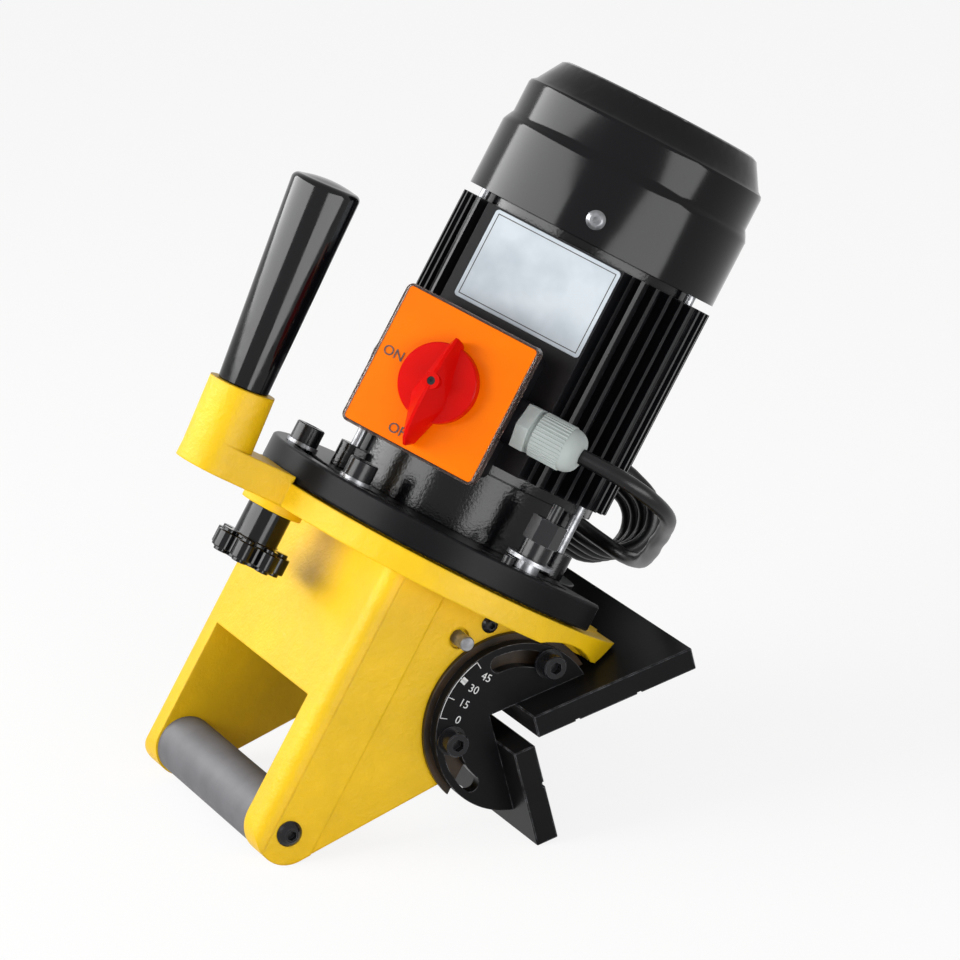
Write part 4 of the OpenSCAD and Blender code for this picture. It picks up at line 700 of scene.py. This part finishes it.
def rib_tree():
    """Geometry Nodes: straight round ribs that stand in a circle."""
    tree, given = begun_tree("ribs_round", Radius=0.012, Count=24, Length=0.014, Rib=0.0006)
    ring = add(tree, "GeometryNodeMeshCircle", {"Vertices": given["Count"], "Radius": given["Radius"]},
               fill_type="NONE").outputs["Mesh"]
    rib = add(tree, "GeometryNodeMeshCylinder", {"Vertices": 8, "Side Segments": 1, "Radius": given["Rib"],
                                                 "Depth": given["Length"]}, fill_type="NGON").outputs["Mesh"]
    ribs = add(tree, "GeometryNodeInstanceOnPoints", {"Points": ring, "Instance": rib}).outputs["Instances"]
    return end_tree(tree, ribs, given["Finish"])


# The cable's way, as in the part's source: lengths in millimetres in the machine's own frame

GLAND_TIP = 69.5
VIEW_TURN = math.radians(-30)
LEAD_POINTS = ((73, -106, 82), (88, -98, 79), (97, -83, 75), (100, -66, 71), (101, -48, 67),
               (102, -30, 62), (102, -12, 57), (103, 6, 52), (103, 24, 47), (103, 42, 43),
               (101, 60, 40), (94, 75, 38), (82, 84, 39))
HANK_END = Vector((84, 88, 59))
HANK_SLOPE = math.radians(12)
HANK_SHIFT = Vector((-3.3, 9.2, -3.3))
HANK_LOOPS = 4
HANK_RUN = 130
HANK_R = 21
HANK_WAIST = 10
LOOP_POINTS = 24
TAIL_POINTS = 11
TAIL_OUT = 24
HANK_LEFT = Vector((-math.cos(HANK_SLOPE), 0, math.sin(HANK_SLOPE)))
HANK_UP = Vector((math.sin(HANK_SLOPE), 0, math.cos(HANK_SLOPE)))


def smooth(x):
    """Climbs from 0 to 1 with a level start and end."""
    return x * x * (3 - 2 * x)


def from_view(point):
    """A point given to the picture's right, away from it and up, in the machine's frame."""
    return Matrix.Rotation(VIEW_TURN, 3, "Z") @ Vector(point)


def run_off(x):
    """Distance of a run from the hank's middle line, x of the way along it.

    The strap draws the run in over its middle two thirds.
    """
    w = min(1, max(0, (x - 1 / 6) / (1 - 2 / 6)))
    return HANK_R - HANK_WAIST * math.sin(math.pi * w) ** 2


def hank_point(i):
    """Point i of the hank: a lower run, the left bend, an upper run that climbs, the right bend."""
    loop, q = divmod(i, LOOP_POINTS)
    part, x = divmod(q / (LOOP_POINTS / 4), 1)
    climb = smooth(x) if part == 2 else (1 if part == 3 else 0)
    bend = math.pi * x
    plain = {
        0: HANK_RUN * x * HANK_LEFT - run_off(x) * HANK_UP,
        1: (HANK_RUN + HANK_R * math.sin(bend)) * HANK_LEFT - HANK_R * math.cos(bend) * HANK_UP,
        2: HANK_RUN * (1 - x) * HANK_LEFT + run_off(x) * HANK_UP,
        3: -HANK_R * math.sin(bend) * HANK_LEFT + HANK_R * math.cos(bend) * HANK_UP,
    }[int(part)]
    return HANK_END + plain + (loop + climb) * HANK_SHIFT


def gland_way(beyond):
    """Point on the cable's way out of the gland, so far beyond the gland's tip."""
    out = GLAND_TIP + beyond
    return Vector((GLAND_X * math.cos(PAD_ANGLE) - out * math.sin(PAD_ANGLE),
                   MOTOR_AXIS.y / MM + GLAND_X * math.sin(PAD_ANGLE) + out * math.cos(PAD_ANGLE), SWITCH_Z))


def cable_route(diameter):
    """The cable's points from the gland's tip to the plug, in the world, in metres."""
    d = diameter / MM
    last = HANK_LOOPS * LOOP_POINTS + 1
    hank = [hank_point(i) for i in range(1, last + 1)]
    hank += [hank_point(last + j) + Vector((0, TAIL_OUT * smooth(j / TAIL_POINTS), 0))
             for j in range(1, TAIL_POINTS + 1)]
    plug = hank[-1] - d * HANK_LEFT
    into_hank = hank[0] - d * HANK_LEFT
    viewed = [Vector(p) for p in LEAD_POINTS] + [into_hank] + hank + [plug]
    points = [gland_way(0), gland_way(d)] + [from_view(p) for p in viewed]
    return [STAND @ (p * MM) for p in points]


# Operators, one for each piece or group of like pieces

STRIP_EDGE = -30 * MM
STRIP_RISE = 0.8 * MM


def raise_strip(bm):
    """Lifts the strip along the near cheek's left leg that the casting has in the photograph.

    The lifted faces are made here, since Blender's own extrusion gives another order in each run.
    """
    def sideways():
        return [face for face in bm.faces if face.normal.y < -0.999]

    def on_cheek(face):
        return abs(face.verts[0].co.y - level) < 0.05 * MM

    level = max(sideways(), key=lambda face: face.calc_area()).verts[0].co.y
    outer = [face for face in sideways() if on_cheek(face)]
    parts = dict.fromkeys(part for face in outer for part in (face, *face.edges, *face.verts))
    edge, across = STAND @ Vector((STRIP_EDGE, 0, 0)), STAND.to_3x3() @ Vector((1, 0, 0))
    bmesh.ops.bisect_plane(bm, geom=list(parts), dist=1e-7, plane_co=edge, plane_no=across)
    strip = [face for face in sideways() if on_cheek(face) and (face.calc_center_median() - edge).dot(across) < 0]
    rim = [line for face in strip for line in face.edges
           if sum(other in strip for other in line.link_faces) == 1]
    lifted = {}
    for face in strip:
        for corner in face.verts:
            if corner not in lifted:
                lifted[corner] = bm.verts.new(corner.co - Vector((0, STRIP_RISE, 0)))
        bm.faces.new([lifted[corner] for corner in face.verts])
    for first, second in [line.verts for line in rim]:
        bm.faces.new((first, second, lifted[second], lifted[first]))
    bmesh.ops.delete(bm, geom=strip, context="FACES")
    bmesh.ops.recalc_face_normals(bm, faces=bm.faces)


class CHAMFER_OT_casting(bpy.types.Operator):
    """Enamels the base casting and rounds its edges"""
    bl_idname = "chamfer.casting"
    bl_label = "Base casting"

    def execute(self, context):
        dress("base_casting", edge=context.scene.chamfer_sizes.edge_round, shape=raise_strip)
        dress("register_screw")
        return {"FINISHED"}


HANDLE_FOOT = 13.9 * MM      # radii of its lower end and of its upper end
HANDLE_TOP = 18.9 * MM
HANDLE_FOOT_EDGE = 0.6 * MM
HANDLE_EDGE = 3.5 * MM
HANDLE_CROWN = 2 * MM
HANDLE_LEAN = math.radians(5)


def handle_outline(length):
    """The handle's section: a straight taper, a rounded upper edge and a slightly domed end."""
    shoulder = length - HANDLE_CROWN - HANDLE_EDGE
    flat = HANDLE_TOP - HANDLE_EDGE
    outline = [(0, 0), (HANDLE_FOOT - HANDLE_FOOT_EDGE, 0), (HANDLE_FOOT, HANDLE_FOOT_EDGE)]
    outline += [(flat + HANDLE_EDGE * math.cos(turn), shoulder + HANDLE_EDGE * math.sin(turn))
                for turn in ARC_TURNS]
    outline += [(flat * share, length - HANDLE_CROWN * share ** 2) for share in (0.8, 0.6, 0.4, 0.2, 0)]
    return outline


class CHAMFER_OT_grips(bpy.types.Operator):
    """Finishes the side handle, the lower grip and the star knob"""
    bl_idname = "chamfer.grips"
    bl_label = "Grips and knob"

    def execute(self, context):
        self.handle()
        dress("clamp_knob", edge=0.8 * MM)
        dress("grip_sleeve", edge=0.3 * MM)
        for node in ("handle_stud", "grip_rod", "clamp_stud"):
            repaint(node)
        dress("grip_screws", "black_fasteners")
        return {"FINISHED"}

    def handle(self):
        """The side handle, turned on its CAD handle's axis with a plain straight taper."""
        way = STAND.to_3x3() @ Matrix.Rotation(-HANDLE_LEAN, 3, "Y") @ UP
        corners = [corner.co for corner in frame["nodes"]["side_handle"].data.vertices]
        low, high = min(co.dot(way) for co in corners), max(co.dot(way) for co in corners)
        ring = [co for co in corners if co.dot(way) < low + 0.01 * MM]
        foot = sum(ring, Vector()) / len(ring)
        mesh = turned("side_handle_dressed", handle_outline(high - low), standing(foot, way))
        piece = new_piece("side_handle_dressed", mesh, SLOTS["side_handle"], "base")
        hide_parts("side_handle")


class CHAMFER_OT_guides(bpy.types.Operator):
    """Blackens the quadrants, the guides and the wear discs, with their screws and pins"""
    bl_idname = "chamfer.guides"
    bl_label = "Guides and quadrants"

    def execute(self, context):
        for node in ("quadrant_near", "quadrant_far"):
            dress(node, edge=0.35 * MM)
        for node in ("upper_guide", "lower_guide"):
            dress(node)
        for node in ("wear_disc_near", "wear_disc_far"):
            dress(node, "wear_disc", edge=0.3 * MM)
        for node in ("quadrant_screws", "quadrant_washers", "guide_screws", "index_pins"):
            dress(node)
        return {"FINISHED"}


INK_UP = 0.45                # share of the ink's thickness by which its middle stands off the surface
SCALE_FIRST = 150            # where on the quadrant the mark of the 45 degree chamfer is, in degrees
SCALE_SPAN = 45
MARK_LENGTH = 4.2 * MM
MARK_WIDTH = 0.4 * MM
NUMBERS_IN = 10.6 * MM       # from the arc to the numbers' middles
NUMBER_SIZE = 6.2 * MM
POINTER_AT = 165
POINTER = 3.4 * MM
POINTER_IN = 1 * MM


class CHAMFER_OT_scale(bpy.types.Operator):
    """Prints the scale of the chamfer's angle on both quadrants"""
    bl_idname = "chamfer.scale"
    bl_label = "Quadrant scale"

    def execute(self, context):
        sizes = context.scene.chamfer_sizes
        tree = scale_tree()
        radius, thick = sizes.scale_radius, sizes.ink
        step = math.radians(SCALE_SPAN / (sizes.scale_count - 1))
        for side, node in ((-1, "quadrant_near"), (1, "quadrant_far")):
            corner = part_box(node)[0 if side < 0 else 1]
            middle = Vector((APEX.x, (STAND.inverted() @ Vector(corner)).y + side * thick * INK_UP, APEX.z))
            level, out = (-side, 0, 0), (0, side, 0)
            first = SCALE_FIRST if side < 0 else 180 - SCALE_FIRST - SCALE_SPAN
            meshes = [grown("scale", tree, {"Radius": radius, "First": math.radians(first), "Step": step,
                                            "Count": sizes.scale_count, "Length": MARK_LENGTH,
                                            "Width": MARK_WIDTH, "Thickness": thick},
                            facing(middle, level, out), "white_ink")]
            spoke = self.spoke(POINTER_AT)
            spot = middle + spoke * (radius - POINTER / 2 - POINTER_IN)
            meshes.append(bar(POINTER, POINTER, thick, facing(spot, spoke, out)))
            for number in (45, 30, 15, 0):
                spot = middle + self.spoke(SCALE_FIRST + SCALE_SPAN - number) * (radius - NUMBERS_IN)
                meshes.append(lettered(str(number), NUMBER_SIZE, facing(spot, level, out), thick))
            marks = joined(node + "_scale", meshes)
            new_piece(node + "_scale", marks, "white_ink", "guide_carrier")
        return {"FINISHED"}

    def spoke(self, degrees):
        """The direction from the V's bottom edge at this angle, in the machine's own frame."""
        turn = math.radians(degrees)
        return Vector((math.cos(turn), 0, math.sin(turn)))


PIN_CUT = 3.4 * MM


def shortened(bm):
    """Lets the stop pin's upper end down, so that it passes under the wide washer when the ring turns."""
    up = STAND.to_3x3() @ UP
    top = max(corner.co.dot(up) for corner in bm.verts)
    end = [corner for corner in bm.verts if corner.co.dot(up) > top - 1 * MM]
    bmesh.ops.translate(bm, verts=end, vec=-up * PIN_CUT)


class CHAMFER_OT_ring(bpy.types.Operator):
    """Blackens the depth ring and its clamps"""
    bl_idname = "chamfer.ring"
    bl_label = "Depth ring"

    def execute(self, context):
        dress("depth_ring", edge=0.4 * MM)
        dress("ring_screws")
        dress("ring_nuts")
        dress("stop_pin", shape=shortened)
        dress("ring_studs", "black_fasteners")
        dress("ring_washers")
        return {"FINISHED"}


class CHAMFER_OT_motor(bpy.types.Operator):
    """Paints the motor's shields, housing and cover, and finishes what is in them"""
    bl_idname = "chamfer.motor"
    bl_label = "Motor"

    def execute(self, context):
        dress("front_shield")
        dress("rear_shield", edge=0.5 * MM)
        dress("stator_housing", "housing")
        dress("fan_cover")
        for node in ("tie_rods", "tie_rod_nuts", "cover_screws"):
            dress(node)
        for node in ("stator_core", "stator_windings", "front_bearing", "rear_bearing"):
            repaint(node)
        return {"FINISHED"}


PLATE_MARGIN = 2.2 * MM
PLATE_LINE = 0.5 * MM


class CHAMFER_OT_nameplate(bpy.types.Operator):
    """Lacquers the unpainted nameplate and prints a plain border on it"""
    bl_idname = "chamfer.nameplate"
    bl_label = "Nameplate"

    def execute(self, context):
        thick = context.scene.chamfer_sizes.ink
        dress("nameplate", "nameplate", edge=0.2 * MM)
        out, along = pad_ways()
        points = [STAND.inverted() @ corner.co for corner in frame["nodes"]["nameplate"].data.vertices]
        spans = [(min(p.dot(way) for p in points), max(p.dot(way) for p in points))
                 for way in (along, UP, out)]
        width, height = [high - low - 2 * PLATE_MARGIN for low, high in spans[:2]]
        middle = along * sum(spans[0]) / 2 + UP * sum(spans[1]) / 2 + out * (spans[2][1] + thick * INK_UP)
        lines = []
        for side in (-1, 1):
            level, upright = middle + UP * (side * height / 2), middle + along * (side * width / 2)
            lines += [bar(width, PLATE_LINE, thick, facing(level, along, out)),
                      bar(PLATE_LINE, height + PLATE_LINE, thick, facing(upright, along, out))]
        border = joined("nameplate_border", lines)
        new_piece("nameplate_border", border, "black_ink", "motor_head")
        return {"FINISHED"}


WORD_SIZE = 7.5 * MM
WORDS = (("ON", -29.5 * MM, 2.6 * MM), ("OFF", -7.6 * MM, -31.5 * MM))      # along, and up from the dial
DIAL_GAP = 0.3 * MM


class CHAMFER_OT_switch(bpy.types.Operator):
    """Finishes the switch, its dial and the marks beside it"""
    bl_idname = "chamfer.switch"
    bl_label = "Switch"

    def execute(self, context):
        thick = context.scene.chamfer_sizes.ink
        dress("switch_box", edge=0.8 * MM)
        dress("switch_plate", edge=0.3 * MM)
        dress("switch_guard", edge=0.5 * MM)
        dress("switch_knob", edge=0.7 * MM)
        dress("dial_screw", "black_fasteners")
        repaint("switch_core")
        pivot = STAND.inverted() @ Vector(JOINTS["dial_turn"]["pos_m"])
        out, along = pad_ways()
        face = pivot - out * (DIAL_GAP - thick * INK_UP)
        words = [lettered(word, WORD_SIZE, facing(face + along * x + UP * z, along, out), thick)
                 for word, x, z in WORDS]
        new_piece("switch_marks", joined("switch_marks", words), "black_ink", "motor_head")
        return {"FINISHED"}


RIBS = 36
RIB_R = 0.5 * MM
RIB_UP = 0.6 * MM            # by which the ribs stand over the cap's wall
CAP_EDGE = 0.4 * MM
CAP_LIP = 1.2 * MM           # flat round the cable at the dome's end


class CHAMFER_OT_gland(bpy.types.Operator):
    """Finishes the cable gland"""
    bl_idname = "chamfer.gland"
    bl_label = "Cable gland"

    def execute(self, context):
        dress("gland_body", edge=0.4 * MM)
        self.cap()
        return {"FINISHED"}

    def cap(self):
        """The cap on its CAD cap's axis and length: fine ribs and a smooth dome."""
        out, along = pad_ways()
        foot = Vector((*MOTOR_AXIS.xy, SWITCH_Z * MM)) + out * (GLAND_X * MM)
        place = standing(STAND @ foot, STAND.to_3x3() @ along)
        points = [place.inverted() @ corner.co for corner in frame["nodes"]["gland_cap"].data.vertices]
        reach = [(point.z, point.xy.length) for point in points]
        low, high = min(reach)[0], max(reach)[0]
        bore, wide = min(r for _, r in reach), max(r for _, r in reach)
        shoulder = max(z for z, r in reach if r > wide - 0.1 * MM)
        wall, tip = wide - RIB_UP, bore + CAP_LIP
        outline = [(bore, low), (wall - CAP_EDGE, low), (wall, low + CAP_EDGE)]
        outline += [(tip + (wall - tip) * math.cos(turn), shoulder + (high - shoulder) * math.sin(turn))
                    for turn in ARC_TURNS]
        outline += [(bore, high), (bore, low)]
        ribs = grown("ribs", rib_tree(), {"Radius": wide - RIB_R, "Count": RIBS, "Rib": RIB_R,
                                          "Length": shoulder - low - 2 * CAP_EDGE},
                     place @ Matrix.Translation(UP * (low + shoulder) / 2), SLOTS["gland_cap"])
        cap = joined("gland_cap_dressed", [turned("cap", outline, place), ribs])
        piece = new_piece("gland_cap_dressed", cap, SLOTS["gland_cap"], "motor_head")
        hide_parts("gland_cap")


class CHAMFER_OT_cable(bpy.types.Operator):
    """Lays the mains cable from the gland into its hank, with its strap and its plug"""
    bl_idname = "chamfer.cable"
    bl_label = "Mains cable"

    def execute(self, context):
        sizes = context.scene.chamfer_sizes
        route = cable_route(sizes.cable_diameter)
        curve = bpy.data.curves.new("mains_cable", "CURVE")
        curve.dimensions = "3D"
        curve.bevel_depth, curve.bevel_resolution = sizes.cable_diameter / 2, 4
        curve.resolution_u, curve.use_fill_caps = 3, True
        spline = curve.splines.new("BEZIER")
        spline.bezier_points.add(len(route) - 1)
        for point, place in zip(spline.bezier_points, route):
            point.co = place
            point.handle_left_type = point.handle_right_type = "AUTO"
        cable = new_piece("mains_cable", curve, "cable_rubber", "motor_head")
        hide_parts("cable_lead", "cable_hank")
        strap = dress("hank_tie", edge=0.3 * MM)
        plug_piece = dress("plug_body", edge=0.8 * MM)
        pins = dress("plug_pins")
        return {"FINISHED"}


class CHAMFER_OT_rotor(bpy.types.Operator):
    """Finishes the shaft, the rotor, the fan and the milling cutter"""
    bl_idname = "chamfer.rotor"
    bl_label = "Rotor and cutter"

    def execute(self, context):
        for node in ("cutter_head", "cutter_inserts", "insert_screws", "cutter_bolt", "motor_shaft"):
            dress(node)
        for node in ("rotor_core", "cooling_fan"):
            repaint(node)
        return {"FINISHED"}


WHITE_SHARE = 0.86           # of plain white in the floor where it is seen; the rest holds the shadow
FLOOR_REACH = 12.0
AIM = Vector((0, 0, 0.25))

# The photograph's own view: the turn from the guides' line, the look down and the roll, and the place
# of the bore's mouth in the image, from its middle, in metres at its own distance.
VIEW_ANGLES = [math.radians(angle) for angle in (25.80, 17.70, -0.51)]
BORE_RIGHT, BORE_BELOW = -0.02289, 0.03637


class CHAMFER_OT_studio(bpy.types.Operator):
    """Sets up the floor, the lamps, the room's light and the camera at the photograph's angle"""
    bl_idname = "chamfer.studio"
    bl_label = "Studio"

    def execute(self, context):
        studio = context.scene.chamfer_studio
        self.floor(studio)
        self.room(context, studio)
        self.lamps(studio)
        self.camera(context, studio)
        return {"FINISHED"}

    def seen(self, tree):
        """1 for the camera's rays and for those that come by way of metal, gloss or glass."""
        rays = add(tree, "ShaderNodeLightPath").outputs
        direct = maths(tree, "MAXIMUM", rays["Is Camera Ray"], rays["Is Glossy Ray"])
        return maths(tree, "MAXIMUM", direct, rays["Is Transmission Ray"])

    def floor(self, studio):
        """Matt painted board, shown nearly white, with the object's shadow kept."""
        mesh = bpy.data.meshes.new("floor")
        corners = [(x * FLOOR_REACH, y * FLOOR_REACH, 0) for x, y in ((-1, -1), (1, -1), (1, 1), (-1, 1))]
        mesh.from_pydata(corners, [], [(0, 1, 2, 3)])
        made = bpy.data.materials.new("matt_white_board")
        made.use_nodes = True
        tree = made.node_tree
        tree.nodes.clear()
        lit = add(tree, "ShaderNodeBsdfDiffuse",
                  {"Color": tuple(studio.floor), "Roughness": 0.5}).outputs["BSDF"]
        white = add(tree, "ShaderNodeEmission",
                    {"Color": (1, 1, 1, 1), "Strength": 1.0}).outputs["Emission"]
        share = maths(tree, "MULTIPLY", self.seen(tree), WHITE_SHARE)
        both = add(tree, "ShaderNodeMixShader", {0: share, 1: lit, 2: white}).outputs["Shader"]
        add(tree, "ShaderNodeOutputMaterial", {"Surface": both})
        mesh.materials.append(made)
        new_object("floor", mesh)

    def room(self, context, studio):
        """An even pale room: white where it is seen, and dimmer as a light on the object."""
        world = bpy.data.worlds.new("pale_room")
        world.use_nodes = True
        tree = world.node_tree
        tree.nodes.clear()
        strength = add(tree, "ShaderNodeMapRange", {"Value": self.seen(tree), "To Min": studio.around,
                                                    "To Max": 1.0}).outputs["Result"]
        light = add(tree, "ShaderNodeBackground", {"Color": (1, 1, 1, 1), "Strength": strength})
        add(tree, "ShaderNodeOutputWorld", {"Surface": light.outputs["Background"]})
        context.scene.world = world
        context.scene.view_settings.view_transform = "Standard"

    def lamps(self, studio):
        """Two lamps that light the colours, and two panels that only show as reflections in gloss.

        The panels stand where the long highlights on the fan cover and the handle mirror them.
        """
        for name, place, size, power, mirrored in (
                ("side_lamp", (-1.22, 0.20, 0.66), (1.30, 0.42), studio.side_lamp, False),
                ("front_lamp", (-0.10, -1.32, 0.24), (1.10, 0.30), studio.front_lamp, False),
                ("side_panel", (-1.02, 0.37, 0.85), (2.24, 0.66), studio.side_panel, True),
                ("front_panel", (0.13, -0.92, 0.23), (0.88, 0.45), studio.front_panel, True)):
            lamp = bpy.data.lights.new(name, "AREA")
            lamp.shape, lamp.size, lamp.size_y, lamp.energy = "RECTANGLE", size[0], size[1], power
            holder = new_object(name, lamp)
            holder.location = place
            holder.rotation_euler = (AIM - Vector(place)).to_track_quat("-Z", "Y").to_euler()
            holder.visible_camera = False
            holder.visible_glossy, holder.visible_diffuse = mirrored, not mirrored

    def camera(self, context, studio):
        """Looks at the machine as the photograph does."""
        azimuth, down, roll = VIEW_ANGLES
        ahead = Vector((math.sin(azimuth) * math.cos(down), math.cos(azimuth) * math.cos(down), -math.sin(down)))
        right = Vector((math.cos(azimuth), -math.sin(azimuth), 0))
        below = ahead.cross(right)
        right, below = (math.cos(roll) * right + math.sin(roll) * below,
                        -math.sin(roll) * right + math.cos(roll) * below)
        data = bpy.data.cameras.new("camera")
        data.sensor_width, data.lens = 36.0, studio.lens
        data.clip_start, data.clip_end = 0.05, 60
        camera = new_object("camera", data)
        place = BORE - (BORE_RIGHT * right + BORE_BELOW * below + studio.distance * ahead)
        turn = Matrix((right, -below, -ahead)).transposed().to_4x4()
        camera.matrix_world = Matrix.Translation(place) @ turn
        context.scene.camera = camera


OPERATORS = (CHAMFER_OT_studio, CHAMFER_OT_cable, CHAMFER_OT_casting, CHAMFER_OT_grips, CHAMFER_OT_guides,
             CHAMFER_OT_scale, CHAMFER_OT_ring, CHAMFER_OT_motor, CHAMFER_OT_nameplate, CHAMFER_OT_switch,
             CHAMFER_OT_gland, CHAMFER_OT_rotor)


class CHAMFER_PT_panel(bpy.types.Panel):
    """Lists the machine's pieces with their sizes and colours"""
    bl_idname = "CHAMFER_PT_panel"
    bl_label = "Chamfering machine"
    bl_space_type = "VIEW_3D"
    bl_region_type = "UI"
    bl_category = "Chamfering machine"

    def draw(self, context):
        for title, group in (("Sizes", context.scene.chamfer_sizes), ("Colours", context.scene.chamfer_colours),
                             ("Studio", context.scene.chamfer_studio)):
            box = self.layout.box()
            box.label(text=title)
            for name in group.bl_rna.properties.keys():
                if name not in ("rna_type", "name"):
                    box.prop(group, name)
        for kind in OPERATORS:
            self.layout.operator(kind.bl_idname)


GROUPS = (ChamferColours, ChamferSizes, ChamferStudio)


def register():
    for kind in GROUPS + OPERATORS + (CHAMFER_PT_panel,):
        bpy.utils.register_class(kind)
    bpy.types.Scene.chamfer_colours = PointerProperty(type=ChamferColours)
    bpy.types.Scene.chamfer_sizes = PointerProperty(type=ChamferSizes)
    bpy.types.Scene.chamfer_studio = PointerProperty(type=ChamferStudio)


def unregister():
    del bpy.types.Scene.chamfer_studio
    del bpy.types.Scene.chamfer_sizes
    del bpy.types.Scene.chamfer_colours
    for kind in reversed(GROUPS + OPERATORS + (CHAMFER_PT_panel,)):
        bpy.utils.unregister_class(kind)


def main():
    register()
    make_finishes(bpy.context.scene.chamfer_colours)
    for kind in OPERATORS:
        group, name = kind.bl_idname.split(".")
        getattr(getattr(bpy.ops, group), name)()


if __name__ == "__main__":
    main()
